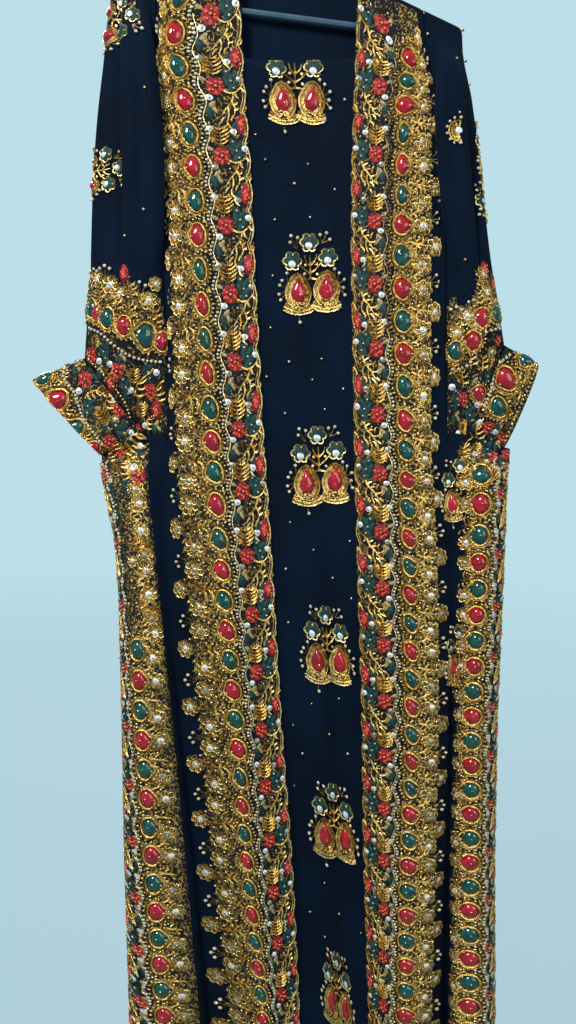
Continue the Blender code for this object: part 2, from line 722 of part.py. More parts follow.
def sleeve_row(side, table, knots, z):
    """One level row of the sleeve."""
    edge = arm_edge(side, level_height(z, arm_edge(side, z, False).x), False)
    line = [Vector((edge.x + side * SEAM, edge.y, edge.z))]
    outs = [row[1] for row in table]
    depths = [row[2] for row in table]
    for k in range(len(SLEEVE_NAMES)):
        out = between(knots, [values[k] for values in outs], z) / 1000
        height = level_height(z, side * out)
        out = between(knots, [values[k] for values in outs], height) / 1000
        depth = between(knots, [values[k] for values in depths], height) / 1000
        line.append(Vector((side * out, -depth, height)))
    fold = line[-1]
    edge = arm_edge(side, level_height(z, arm_edge(side, z, True).x), True)
    start = abs(edge.x) + SEAM
    for share, round_share in ((0.75, 0.8), (0.5, 1.0), (0.25, 1.0)):
        out = start + (abs(fold.x) - start) * share
        line.append(Vector((side * out, edge.y * round_share, level_height(z, side * out))))
    line.append(Vector((side * start, edge.y, edge.z)))
    return line


def sleeve_end_row(side, seam):
    """The last row of the sleeve, along the cuff seam and the underarm."""
    (top_out, top_z), (low_out, low_z) = seam
    edge = arm_edge(side, UNDERARM_Z, False)
    line = [Vector((edge.x + side * SEAM, edge.y, low_z))]
    start = abs(edge.x)
    for k, (share, depth) in enumerate(zip(CUFF_SEAM_SHARES, CUFF_SEAM_DEPTH)):
        out = low_out + (top_out - low_out) * share
        z = low_z + (top_z - low_z) * share
        if k < 2:
            out = start + (low_out - start) * (0.3, 0.65)[k]
        line.append(Vector((side * out, -depth / 1000, z)))
    for share, depth in ((0.78, 0.012), (0.48, 0.014), (0.0, 0.0)):
        out = low_out + (top_out - low_out) * share
        z = low_z + (top_z - low_z) * share
        line.append(Vector((side * out, depth, z)))
    edge = arm_edge(side, UNDERARM_Z, True)
    line.append(Vector((edge.x + side * SEAM, edge.y, low_z)))
    return line


CUFF_AROUND = 16
CUFF_ROWS = (0.0, 0.30, 0.48, 0.74, 1.0)


def cuff_net(side):
    """Section points of one cuff: rings from the sleeve seam to the open end."""
    seam = CUFF_SEAM_LEFT if side < 0 else CUFF_SEAM_RIGHT
    end = CUFF_END_LEFT if side < 0 else CUFF_END_RIGHT
    axis = cuff_axis(seam, side)
    top_a = Vector((side * seam[0][0], 0.0, seam[0][1])) + axis * LAP
    low_a = Vector((side * seam[1][0], 0.0, seam[1][1])) + axis * LAP
    top_b = Vector((side * end[0][0], end[0][1], end[0][2]))
    low_b = Vector((side * end[1][0], end[1][1], end[1][2]))
    along = (top_b - top_a + low_b - low_a).normalized()
    rings = []
    for share in CUFF_ROWS:
        high = top_a.lerp(top_b, share)
        low = low_a.lerp(low_b, share)
        middle = high.lerp(low, 0.5)
        half = (high - low) / 2
        forward = half.cross(along if share > 0 else axis).normalized()
        if forward.y > 0:
            forward = -forward
        thick = between((0.0, -1.0), (0.0135, 0.0125), -share)
        ring = []
        for k in range(CUFF_AROUND + 1):
            angle = 2 * math.pi * (k % CUFF_AROUND) / CUFF_AROUND
            flat = math.sin(angle)
            lift = math.copysign(abs(flat) ** 0.8, flat) * thick
            ring.append(middle + half * math.cos(angle) + forward * lift)
        rings.append(ring)
    return Net(rings, 1)


def ring_wall(name, net, mat, outer, inner):
    """A closed tube wall through a net whose last column meets its first."""
    mesh = bmesh.new()
    around = net.width - 1
    skins = []
    for distances in (outer, inner):
        skins.append([[mesh.verts.new(net.points[r][c] + ring_normal(net, r, c)
                                      * distances(r, c)) for c in range(around)]
                      for r in range(net.height)])
    for skin in skins:
        for r in range(net.height - 1):
            for c in range(around):
                n = (c + 1) % around
                triangle(mesh, skin[r][c], skin[r + 1][c], skin[r + 1][n])
                triangle(mesh, skin[r][c], skin[r + 1][n], skin[r][n])
    for r in (0, -1):
        for c in range(around):
            n = (c + 1) % around
            triangle(mesh, skins[0][r][c], skins[0][r][n], skins[1][r][n])
            triangle(mesh, skins[0][r][c], skins[1][r][n], skins[1][r][c])
    return finish(name, mesh, mat)


def ring_normal(net, r, c):
    """Outward direction on a ring, away from the ring's centre."""
    around = net.width - 1
    centre = sum(net.points[r][:around], Vector()) / around
    before, after = net.points[r][(c - 1) % around], net.points[r][(c + 1) % around]
    across = after - before
    up, down = max(r - 1, 0), min(r + 1, net.height - 1)
    along = net.points[down][c] - net.points[up][c]
    direction = along.cross(across).normalized()
    if direction.dot(net.points[r][c] - centre) < 0:
        direction = -direction
    if c in (0, around // 2):
        direction = (net.points[r][c] - centre).normalized()
    if r == 0:
        axis = (net.points[0][around // 2] - net.points[0][0]).cross(
            net.points[0][around // 4] - net.points[0][3 * around // 4]).normalized()
        direction = (direction - axis * direction.dot(axis)).normalized()
    return direction


def front_border_rise():
    """Height of the front border's outer points: gems, flowers, pearls and cord."""
    names = FRONT_NAMES[1:]
    gem, f_mid = names.index("gem"), names.index("f_mid")
    pearl, strip = names.index("pearl"), names.index("strip")

    def rise(u, v):
        beat = gem_beat(u)
        column = round(v)
        if column == gem:
            return BORDER_BASE + (GEM_RISE if beat == 0 else 0.0)
        if column == f_mid:
            return BORDER_BASE + (FLOWER_RISE if beat == 1 else 0.0008)
        if column == pearl:
            return BORDER_BASE + PEARL_RISE
        if column == strip:
            return BORDER_BASE + (FLOWER_RISE if beat == 0 else 0.0006)
        return BORDER_BASE + CORD_RISE * 0.3
    return rise


def fine_row_places(first, last):
    """Places of the outer rows: half a gem pitch apart on the level rows."""
    places = []
    for row in range(first, last):
        above = row < TOP_ROWS - 1
        steps = 1 if above else 2 if row in (TOP_ROWS - 1, UNDERARM_ROW) else 4
        places += [row + k / steps for k in range(steps)]
    return places + [float(last)]


def gem_beat(u):
    """0 where a gem sits and 1 half way between two gems."""
    row = int(u)
    steps = 2 if row in (TOP_ROWS - 1, UNDERARM_ROW) else 4
    return round((u - row) * steps) % 2


def front_border(name, net, mat):
    """The embroidered border along one opening."""
    names = FRONT_NAMES[1:]
    first, last = names.index("f_edge"), names.index("open")
    rows = list(range(2, ROW_COUNT))
    columns = list(range(first, last + 1))
    return raised_wall(name, net, rows, columns, fine_row_places(2, ROW_COUNT - 1),
                       columns, front_border_rise(), mat)


def side_border(name, net, columns, gem_column, pearl_column, mat):
    """The border down one side seam, on the front or the back."""
    first = UNDERARM_ROW + 1

    def rise(u, v):
        beat = gem_beat(u)
        if round(v) == gem_column:
            return BORDER_BASE + (GEM_RISE if beat == 0 else 0.0)
        if round(v) == pearl_column:
            return BORDER_BASE + PEARL_RISE
        return BORDER_BASE + CORD_RISE * 0.3
    rows = list(range(first, ROW_COUNT))
    return raised_wall(name, net, rows, columns, fine_row_places(first, ROW_COUNT - 1),
                       columns, rise, mat)


def sleeve_border(name, net, mat):
    """The border round a sleeve's end, from armhole to armhole."""
    first = net.height - len(SLEEVE_BAND_ROWS)
    columns = list(range(2, net.width - 2))

    def rise(u, v):
        share = SLEEVE_BAND_RISE[round(u) - first]
        bump = 1.0 if round(v) % 2 else 0.45
        return BORDER_BASE + FLOWER_RISE * share * bump
    rows = list(range(first, net.height))
    return raised_wall(name, net, rows, columns, rows, columns, rise, mat)


def motif(name, net, centre_z, mat):
    """A thick applique motif on the centre panel, made from the panel's points."""
    half_wide, half_high = MOTIF_HALF
    heights = [net.points[r][4].z for r in range(net.height)]

    def row_at(z):
        for r in range(net.height - 1):
            if heights[r] >= z >= heights[r + 1]:
                return r + (heights[r] - z) / (heights[r] - heights[r + 1])
        return 0.02 if z > heights[0] else net.height - 1.02

    top, low = row_at(centre_z + half_high), row_at(centre_z - half_high)
    rows = [top] + [float(r) for r in range(int(top) + 1, int(low) + 1)] + [low]
    wide = abs(net.points[int(top)][6].x - net.points[int(top)][2].x)
    middle = 4.0
    reach = 2.0 * min(2 * half_wide / wide, 1.0)
    columns = [middle - reach, 3.0, 4.0, 5.0, middle + reach]
    fine = sorted(set(rows + [top + (low - top) * k / 6 for k in range(1, 6)]))

    def rise(u, v):
        down = (u - top) / (low - top)
        gem = abs(abs(v - middle) - 1.0) < 0.1 and 0.5 < down < 0.95
        flower = abs(v - middle) < 0.1 and 0.05 < down < 0.5
        edge = 0.25 if min(down, 1 - down) < 0.05 or abs(v - middle) > 1.1 else 1.0
        return BORDER_BASE * edge + (GEM_RISE * 0.8 if gem else FLOWER_RISE if flower else 0)
    return raised_wall(name, net, rows, columns, fine, columns, rise, mat, base=LAP)


def tube_rings(path, radius, sides, closed):
    """Rings of points square to a path in the X-Z plane."""
    rings = []
    count = len(path)
    for k, point in enumerate(path):
        before = path[(k - 1) % count] if closed or k > 0 else point
        after = path[(k + 1) % count] if closed or k < count - 1 else point
        along = (after - before).normalized()
        aside = along.cross(Vector((0.0, 1.0, 0.0))).normalized()
        rings.append([point + (aside * math.cos(2 * math.pi * s / sides)
                               + Vector((0.0, 1.0, 0.0)) * math.sin(2 * math.pi * s / sides))
                      * radius for s in range(sides)])
    return rings


def tube(name, path, radius, closed, mat):
    """A round tube along a path, closed on itself or with flat ends."""
    mesh = bmesh.new()
    rings = [[mesh.verts.new(p) for p in ring]
             for ring in tube_rings(path, radius, TUBE_SIDES, closed)]
    pairs = list(zip(rings, rings[1:] + ([rings[0]] if closed else [])))
    for a, b in pairs:
        for s in range(TUBE_SIDES):
            n = (s + 1) % TUBE_SIDES
            mesh.faces.new((a[s], b[s], b[n], a[n]))
    if not closed:
        mesh.faces.new(rings[0])
        mesh.faces.new(rings[-1][::-1])
    bmesh.ops.triangulate(mesh, faces=mesh.faces[:])
    return finish(name, mesh, mat)


def hanger(mat):
    """The tube frame with its two arms and lower bar, and the hook above it."""
    end_r = 0.007
    arm_drop = HALF_SPAN * math.tan(ARM_SLOPE)
    path = []
    for side in (-1, 1):
        arm = [hanger_point(side * share * HALF_SPAN, -NECK_DROP - arm_drop * share)
               for share in (0.06, 0.35, 0.68, 0.93)]
        end_low = -BAR_DROP
        end_high = -NECK_DROP - arm_drop
        bend_mid = (end_low + end_high) / 2
        bend = [hanger_point(side * (HALF_SPAN + end_r * 0.45), end_high - 0.002),
                hanger_point(side * (HALF_SPAN + end_r * 0.80), bend_mid),
                hanger_point(side * (HALF_SPAN + end_r * 0.45), end_low + 0.002)]
        bar = [hanger_point(side * share * HALF_SPAN, end_low) for share in (0.93, 0.4)]
        half = arm + bend + bar
        path = path + (half if side < 0 else half[::-1])
    path.append(hanger_point(0.0, -NECK_DROP))
    tube("hanger_frame", path[::-1], TUBE_R, True, mat)
    bottom = hanger_point(0.0, -NECK_DROP + TUBE_R + SEAM)
    hook = [bottom, bottom.lerp(hanger_point(0.0, -0.040), 0.6)]
    centre = Vector((0.0, 0.0, -HOOK_R))
    ring = HOOK_R + HOOK_WIRE_R
    for degrees in range(-70, 211, 28):
        angle = math.radians(degrees)
        hook.append(centre + Vector((ring * math.cos(angle), 0.0, ring * math.sin(angle))))
    tube("hanger_hook", hook, HOOK_WIRE_R, False, mat)


def build():
    """Clear the scene and make every piece."""
    for thing in list(bpy.data.objects):
        bpy.data.objects.remove(thing, do_unlink=True)
    cloth = material("cloth", 0.8, 0.0)
    border = material("border", 0.45, 0.3)
    plastic = material("hanger", 0.4, 0.0)
    nets = {}
    for side, label in ((-1, "left"), (1, "right")):
        net = front_net(side)
        nets[side] = net
        cloth_wall("front_" + label, net, net.cells, cloth)
        front_border("front_band_" + label, net, border)
        side_border("side_band_" + label, net, [0, 1, 2, 3], 2, 1, border)
        sleeve = sleeve_net(side)
        cloth_wall("sleeve_" + label, sleeve, sleeve.cells, cloth)
        sleeve_border("sleeve_band_" + label, sleeve, border)
        cuff = cuff_net(side)
        ring_wall("cuff_" + label, cuff, border,
                  lambda r, c: 0.0014 + (0.002 if r in (2, 4) and c % 2 else 0.0),
                  lambda r, c: -0.0012)
    back = back_net()
    cloth_wall("back", back, back.cells, cloth)
    side_border("back_band_left", back, [0, 1, 2, 3], 2, 1, border)
    last = back.width - 1
    side_border("back_band_right", back, [last - 3, last - 2, last - 1, last], last - 2,
                last - 1, border)
    centre = center_net(nets[-1], nets[1])
    cloth_wall("center_panel", centre, centre.cells, cloth)
    for number, height in enumerate(MOTIF_HEIGHTS):
        motif("motif_%d" % (number + 1), centre, height, border)
    hanger(plastic)


build()
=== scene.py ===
"""Looks of an open embroidered kaftan that hangs on a tube clothes hanger.

Metres, +Z up, +X to the right of someone who looks at the front, front towards -Y. The
origin is the point where the hook bears on its rod. Cloth, borders and stones lie on
smooth sheets, each drawn through rows and columns of section points.
"""

import logging
import math
import random
from dataclasses import dataclass, field
from enum import Enum
from typing import Callable, Iterable, Sequence

import bmesh
import bpy
import numpy as np
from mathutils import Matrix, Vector


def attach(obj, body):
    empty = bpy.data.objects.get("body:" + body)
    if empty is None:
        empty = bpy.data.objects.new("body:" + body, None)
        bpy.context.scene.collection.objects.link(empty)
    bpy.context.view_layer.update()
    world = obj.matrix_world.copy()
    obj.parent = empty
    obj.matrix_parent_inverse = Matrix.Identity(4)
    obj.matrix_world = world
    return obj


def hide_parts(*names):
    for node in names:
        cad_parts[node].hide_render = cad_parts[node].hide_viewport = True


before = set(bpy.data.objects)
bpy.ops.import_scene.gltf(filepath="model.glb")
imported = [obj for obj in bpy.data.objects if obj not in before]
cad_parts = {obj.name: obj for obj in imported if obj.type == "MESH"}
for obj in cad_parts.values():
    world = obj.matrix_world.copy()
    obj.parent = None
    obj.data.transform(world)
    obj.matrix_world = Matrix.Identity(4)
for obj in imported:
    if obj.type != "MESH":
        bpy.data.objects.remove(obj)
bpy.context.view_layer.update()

LOG = logging.getLogger("kaftan")
MM = 0.001
BODY = "root"
Pair = tuple[float, float]
EVERYWHERE = (0.0, 99.0)
Color = tuple[float, float, float]
Outline = Callable[[float], Pair]
Socket = bpy.types.NodeSocket
Tree = bpy.types.NodeTree

# A direction that no cord runs in, from which the sides of cords are reckoned
ASKEW = np.array([0.31, 0.92, 0.24])

# Cloth and seams, in metres
CLOTH = 0.0018
SEAM = 0.0003
LAP = 0.0006
# How far unused points stand back from the seam that they hang on
HIDDEN = 0.0012
SHELL = 0.0011
GROUND = 0.0004
# How far the stitched ground lies out from the cloth, and from a cuff's cloth
GROUND_LIFT = 0.0005
CUFF_LIFT = 0.0009
GEM_PITCH = 0.040565
HEM_Z = -1.585
UNDERARM_Z = -0.652

# Hanger and shoulder line
TILT = math.radians(7.2)
ARM_SLOPE = math.radians(17.4)
NECK_DROP = 0.062
SEAM_R = 0.00666
SHOULDER_ROWS = ((0.0, 0.0), (0.293, 0.707), (1.0, 1.0), (3.75, 1.35))
NECK_HALF = 0.074
NECK_SHIFT = 0.004
FIRST_LEVEL_DROP = 0.068
# Heights at which the tables are read for the shoulder rows and the last of them
SHOULDER_READ = (-0.060, -0.113)
# Half depth of the hanging body from shoulder to hem, (height, front, back), in metres
DEPTH = (
    (-0.10, 0.0095, 0.0105),
    (-0.30, 0.0125, 0.0150),
    (-0.46, 0.0170, 0.0220),
    (-0.652, 0.0260, 0.0320),
    (-0.90, 0.0400, 0.0430),
    (-1.20, 0.0460, 0.0500),
    (-1.585, 0.0500, 0.0560),
)

# Radius on which the side seams roll over, at the underarm and at the hem
SIDE_ROLL = (0.030, 0.052)

# Distance from the garment's centre to each line of a front, in millimetres, by height.
# The first four columns start below the underarm: side seam, pearl line, gem row and
# inner edge of the side border. gap is the armhole, and the deep fold below it.
LINES = ("side", "pearls of the side", "gems of the side", "side border's edge", "gap",
         "border's edge", "middle", "inner gold", "gems", "pearls", "strip", "opening")
GAP, STRIP, OPENING = (LINES.index(name) for name in ("gap", "strip", "opening"))
FRONT = {
    -1: (
        (-0.060, 0, 0, 0, 0, 174, 170, 160, 147, 132, 116, 96, 78),
        (-0.165, 0, 0, 0, 0, 175, 172, 168, 164, 156, 130, 100, 71),
        (-0.246, 0, 0, 0, 0, 180, 174, 164, 153, 141, 118, 91, 66),
        (-0.300, 0, 0, 0, 0, 180, 172, 159, 147, 132, 113, 87, 61),
        (-0.409, 0, 0, 0, 0, 169, 162, 152, 141, 126, 106, 82, 57),
        (-0.652, 252, 243, 226, 190, 165, 156, 141, 126, 109, 90, 68, 45),
        (-0.693, 251, 241, 225, 190, 167, 155, 139, 123, 106, 87, 65, 42),
        (-0.800, 232, 222, 206, 181, 164, 147, 131, 115, 99, 80, 58, 35),
        (-1.000, 230, 215, 199, 161, 153, 131, 114, 97, 81, 62, 43, 24),
        (-1.200, 230, 205, 185, 145, 137, 114, 98, 82, 66, 48, 29, 9),
        (-1.400, 227, 195, 172, 130, 122, 93, 77, 61, 45, 30, 15, 0),
        (-1.585, 226, 190, 164, 116, 106, 78, 62, 47, 32, 19, 8, -3),
    ),
    1: (
        (-0.060, 0, 0, 0, 0, 150, 146, 139, 131, 122, 106, 88, 70),
        (-0.165, 0, 0, 0, 0, 151, 148, 146, 143, 137, 117, 92, 68),
        (-0.246, 0, 0, 0, 0, 172, 166, 155, 143, 128, 109, 87, 65),
        (-0.300, 0, 0, 0, 0, 179, 170, 156, 141, 125, 106, 85, 63),
        (-0.409, 0, 0, 0, 0, 181, 170, 156, 141, 125, 106, 84, 63),
        (-0.652, 267, 256, 238, 208, 185, 168, 159, 147, 131, 112, 90, 68),
        (-0.693, 264, 253, 236, 210, 190, 170, 161, 149, 133, 114, 92, 69),
        (-0.800, 262, 250, 232, 211, 196, 179, 167, 153, 136, 117, 95, 72),
        (-1.000, 257, 244, 226, 204, 194, 182, 170, 157, 141, 122, 100, 79),
        (-1.200, 257, 244, 227, 202, 193, 179, 168, 154, 138, 119, 101, 83),
        (-1.400, 261, 249, 231, 201, 193, 177, 165, 151, 136, 117, 104, 91),
        (-1.585, 263, 252, 233, 201, 192, 175, 163, 149, 133, 116, 106, 96),
    ),
}

# How far each line of a front stands forward (+) or falls back (-) from the body's
# depth, in millimetres, at the shoulder, the underarm, mid length and the hem
FOLD_HEIGHTS = (-0.165, -0.652, -1.10, -1.585)
FOLDS = {
    -1: (
        (0, 0, 0, 0), (0, 0, 0, 0), (0, 2, 3, 2), (0, -3, -3, -6), (0, -13, -20, -26),
        (0, -4, -9, -12), (0, 2, 3, 3), (1, 4, 7, 9), (2, 5, 8, 12), (2, 3, 5, 8), (0, -1, -2, -4),
        (-2, -5, -10, -16),
    ),
    1: (
        (0, 0, 0, 0), (0, 0, 0, 0), (0, 2, 2, 3), (0, -6, -8, -9), (0, -13, -22, -24),
        (0, -4, -6, -7), (0, 3, 5, 5), (1, 4, 6, 8), (2, 5, 8, 10), (2, 3, 4, 6), (0, -1, -2, -2),
        (-2, -9, -15, -14),
    ),
}

# Centre panel between the openings: share of the way across, and how far it lies back
# from the line between the two opening edges, in millimetres, at the same heights
CENTER_FOLDS = (
    (0.14, 3, 4, 5, 4),
    (0.32, 4, 2, 1, -4),
    (0.52, 5, 4, 2, 4),
    (0.70, 4, 6, 9, 12),
    (0.87, 3, 4, 5, 6),
)
NECKLINE_Z = (-0.180, -0.184, -0.186, -0.187, -0.187, -0.186, -0.185, -0.183, -0.181)

# Share of the back's half width at which its neckline meets the shoulder seam
NECK_SHARE = 0.42
# Back: share of the half width between the centre and the armhole column, and how far
# each line stands back (+) or falls in (-), in millimetres, at the same heights
BACK_FOLDS = (
    (0.68, 0, 2, 4, 8),
    (NECK_SHARE, 0, -2, -5, -8),
    (0.34, 0, 1, 3, 7),
    (0.00, 0, -1, -3, -6),
    (-0.34, 0, 2, 4, 8),
    (-NECK_SHARE, 0, -1, -4, -9),
    (-0.68, 0, 2, 4, 7),
)
BACK_NECK_DIP = 0.024
BACK_NECK_DEPTH = 0.0110
# Half width of the back at its armholes, and how far in from the side seam its outer
# columns lie: seam, pearl line and gem row
BACK_HALF = {-1: 0.176, 1: 0.182}
BACK_HALF_TAPER = 0.020
BACK_SIDE_INSETS = (0.0, 0.014, 0.034)
BACK_SIDE_FALL = 0.006

# Sleeves: distance from the centre and stand-off forward of the seam plane of each line
# of the front side, in millimetres, by height: turn, inner crease, the pleat's two lines,
# outer crease, tuck, wing and the fold that is the sleeve's outer edge
SLEEVE = {
    -1: (
        (-0.165, (180, 178, 187, 203, 217, 212, 228, 239), (13, 22, 31, 31, 24, 14, 11, 0)),
        (-0.246, (186, 168, 183, 201, 217, 210, 232, 250), (14, 25, 33, 33, 25, 13, 12, 0)),
        (-0.327, (184, 165, 181, 200, 217, 211, 237, 257), (14, 25, 33, 33, 25, 14, 13, 0)),
        (-0.409, (174, 168, 180, 199, 217, 216, 241, 261), (15, 23, 31, 31, 26, 18, 15, 0)),
        (-0.440, (171, 174, 184, 200, 217, 222, 243, 262), (15, 20, 27, 29, 26, 23, 17, 0)),
    ),
    1: (
        (-0.165, (157, 158, 163, 172, 184, 192, 197, 201), (13, 21, 31, 33, 28, 19, 10, 0)),
        (-0.200, (166, 166, 170, 177, 190, 196, 201, 206), (14, 22, 31, 33, 28, 19, 11, 0)),
        (-0.246, (179, 162, 166, 182, 197, 201, 208, 214), (17, 27, 34, 34, 28, 19, 13, 0)),
        (-0.327, (187, 168, 181, 196, 210, 207, 216, 225), (16, 26, 33, 33, 26, 17, 13, 0)),
        (-0.409, (187, 181, 191, 204, 217, 214, 227, 236), (16, 23, 31, 31, 26, 19, 15, 0)),
        (-0.440, (185, 188, 197, 207, 219, 222, 231, 241), (15, 20, 28, 29, 27, 23, 17, 0)),
    ),
}
# Back of the sleeve: share of the way out from the armhole, and share of its depth there
SLEEVE_BACK = ((0.75, 0.8), (0.5, 1.0), (0.25, 1.0))
# Half the slit left inside the sleeve's lower corner
UNDERARM_HALF = 0.0024
# Drop of the seam under the sleeve, and its slope out to the garment's corner
UNDERARM_DROP = 0.002
UNDERARM_SLOPE = 0.29
# Depth of the side border's inner edge at the underarm seam
UNDERARM_EDGE = 0.006
# How much of the pleat is there on the last row below the shoulder seam
PLEAT_START = 0.12
# Outer end of the sleeve on the hanger's arm, and how far each row below it stands out
SLEEVE_TOP_END = {-1: 0.2275, 1: 0.1955}
SLEEVE_TOP_FLARE = (0.0, 0.0015, 0.003, 0.004)
# Cuff seam: outer top corner and inner bottom corner (distance out, height)
CUFF_SEAM = {-1: ((0.271, -0.548), (0.192, -0.6505)), 1: ((0.257, -0.532), (0.206, -0.6505))}
CUFF_SEAM_SHARES = (0.0, 0.0, 0.0, 0.24, 0.47, 0.66, 0.84, 1.0)
CUFF_SEAM_DEPTH = (9, 5, 0, 12, 15, 15, 11, 0)
# Its first two points, as shares of the way from the armhole to its inner corner
CUFF_SEAM_START = (0.3, 0.65)
# Its back: share of the way up, and depth in metres
CUFF_SEAM_BACK = ((0.78, 0.012), (0.48, 0.014), (0.0, 0.0))
# Half thickness of the cuff at its seam and at its open end
CUFF_THICK = (0.0135, 0.0125)
# Open end of the cuff: outer tip and lower corner (distance out, depth back, height)
CUFF_END = {-1: ((0.337, 0.000, -0.576), (0.253, 0.000, -0.668)),
            1: ((0.299, -0.006, -0.557), (0.262, 0.022, -0.661))}
# Rows of the sleeve border: share of the way from its top line to the cuff seam
SLEEVE_BAND_TOP = -0.440
SLEEVE_BAND_ROWS = (0.0, 0.16, 0.31, 0.42, 0.53, 0.76, 1.0)

ARM_FALL = 0.002
ARM_FALL_LOW = 0.013
CUFF_AROUND = 16
CUFF_ROWS = (0.0, 0.30, 0.48, 0.74, 1.0)


class Side(Enum):
    """The two sides of the garment as the photo shows them."""

    LEFT = -1
    RIGHT = 1

    @property
    def label(self) -> str:
        """The side's word in the names of pieces."""
        return self.name.lower()


class Stone(Enum):
    """The two colours of the glass stones."""

    RED = "red"
    GREEN = "green"


def between(knots: Sequence[float], values: Sequence[float], at: float) -> float:
    """Straight interpolation of values over falling knots.

    Args:
        knots: Falling places.
        values: One value for each place.
        at: The place asked for.

    Returns:
        The value there, held constant past both ends.
    """
    return float(np.interp(-at, [-k for k in knots], values))


def table_value(table: Sequence[Sequence[float]], column: int, at: float) -> float:
    """Straight interpolation down one column of a table whose rows start with height."""
    return between([row[0] for row in table], [row[column] for row in table], at)


def line_out(side: int, line: int, z: float) -> float:
    """Distance of one line of a front from the garment's centre, at one height."""
    return table_value(FRONT[side], line + 1, z) * MM


def hanger_point(across: float, up: float) -> Vector:
    """A point of the level hanger, turned by the tilt at which it hangs.

    Args:
        across: Distance right of the hook's middle.
        up: Distance above the origin.

    Returns:
        The point as it hangs.
    """
    return Vector((across * math.cos(TILT) + up * math.sin(TILT), 0.0,
                   up * math.cos(TILT) - across * math.sin(TILT)))


NECK_POINT = hanger_point(0.0, -NECK_DROP)
SLOPE = {-1: ARM_SLOPE - TILT, 1: ARM_SLOPE + TILT}


def shoulder_z(x: float) -> float:
    """Height of the shoulder seam above the hanger's arm at x."""
    side = -1 if x < NECK_POINT.x else 1
    fall = abs(x - NECK_POINT.x) * math.tan(SLOPE[side])
    return NECK_POINT.z - fall + SEAM_R / math.cos(SLOPE[side])


# Heights of the level rows, from under the shoulder to the hem
LEVELS = ([UNDERARM_Z + GEM_PITCH * k for k in range(12, 0, -2)] + [UNDERARM_Z]
          + [UNDERARM_Z - GEM_PITCH * k for k in range(1, 24, 2)])
TOP_ROWS = len(SHOULDER_ROWS)
UNDERARM_ROW = TOP_ROWS + LEVELS.index(UNDERARM_Z)
ROW_COUNT = TOP_ROWS + len(LEVELS)
ARM_EDGE_KNOTS = (LEVELS[0], LEVELS[1], LEVELS[2], LEVELS[3], UNDERARM_Z)


def shoulder_point(x: float, row: int, side_y: int) -> Vector:
    """A point of one of the rows that run round the hanger's arm.

    Args:
        x: Place along the arm.
        row: 0 on the seam, up to the last row round the tube.
        side_y: -1 on the front, 1 on the back.

    Returns:
        The point.
    """
    drop, out = SHOULDER_ROWS[row]
    side = -1 if x < NECK_POINT.x else 1
    fall = drop * SEAM_R / math.cos(SLOPE[side])
    return Vector((x, side_y * out * SEAM_R, shoulder_z(x) - fall))


def level_height(level: float, x: float) -> float:
    """Height of a level row at x: the first one dips under the sloping shoulder."""
    return min(level, shoulder_z(x) - FIRST_LEVEL_DROP)


def body_depth(z: float, back: bool) -> float:
    """Half depth of the hanging body at one height, on its front or its back."""
    return table_value(DEPTH, 2 if back else 1, z)


def side_roll(inset: float, z: float) -> float:
    """Share of the depth reached at a distance in from the side seam."""
    rest = 1 - min(max(inset, 0.0) / between((UNDERARM_Z, HEM_Z), SIDE_ROLL, z), 1.0)
    return math.sqrt(1 - rest * rest)


def arm_edge(side: int, z: float, back: bool) -> Vector:
    """The armhole line, straight between its knots, so that both its pieces share it.

    Args:
        side: -1 left, 1 right.
        z: Height.
        back: Whether it is the back's line.

    Returns:
        The point on the line.
    """
    outs = [BACK_HALF[side] if back else line_out(side, GAP, knot) for knot in ARM_EDGE_KNOTS]
    depths = [body_depth(knot, back) - (ARM_FALL_LOW if knot == UNDERARM_Z else ARM_FALL)
              for knot in ARM_EDGE_KNOTS]
    depth = between(ARM_EDGE_KNOTS, depths, z)
    return Vector((side * between(ARM_EDGE_KNOTS, outs, z), depth if back else -depth, z))


def corner_z(side: int, out: float) -> float:
    """Height of the seam that closes the body under the sleeve, out to its corner."""
    start = CUFF_SEAM[side][1][0]
    return UNDERARM_Z - UNDERARM_DROP - UNDERARM_SLOPE * max(out - start, 0.0)


def unit(ways: np.ndarray) -> np.ndarray:
    """Directions of length one."""
    return ways / np.maximum(np.linalg.norm(ways, axis=-1, keepdims=True), 1e-12)


def refine(control: np.ndarray, steps: Sequence[int], rolled: tuple[bool, bool] = (False, False),
           closed: bool = False) -> np.ndarray:
    """Smooth interpolation along the first axis that never swings past its points.

    Args:
        control: Points, the first axis being the one refined.
        steps: Number of new steps in each cell.
        rolled: Whether the cloth rolls over the seam plane at the first and last point.
        closed: Whether the last point meets the first.

    Returns:
        The finer array.
    """
    step = np.diff(control, axis=0)
    before, after = step[:-1], step[1:]
    mean = (before + after) / 2
    bound = 3 * np.minimum(np.abs(before), np.abs(after))
    slope = np.empty_like(control)
    slope[1:-1] = np.where(before * after > 0,
                           np.sign(mean) * np.minimum(np.abs(mean), bound), 0.0)
    slope[0], slope[-1] = step[0], step[-1]
    for end, inner, sign in ((0, 1, 1.0), (-1, -2, -1.0)):
        if rolled[end]:
            on_seam = np.abs(control[end][..., 1:2]) < 0.001
            turned = control[inner] * np.array([0.0, sign, 0.0])
            slope[end] = np.where(on_seam, turned, slope[end])
    if closed:
        mean = (step[-1] + step[0]) / 2
        slope[0] = slope[-1] = np.where(step[-1] * step[0] > 0, mean, 0.0)
    parts = []
    for k, count in enumerate(steps):
        t = (np.arange(count) / count).reshape((-1,) + (1,) * (control.ndim - 1))
        parts.append((2 * t ** 3 - 3 * t ** 2 + 1) * control[k]
                     + (t ** 3 - 2 * t ** 2 + t) * slope[k]
                     + (3 * t ** 2 - 2 * t ** 3) * control[k + 1]
                     + (t ** 3 - t ** 2) * slope[k + 1])
    parts.append(control[-1:])
    return np.concatenate(parts)


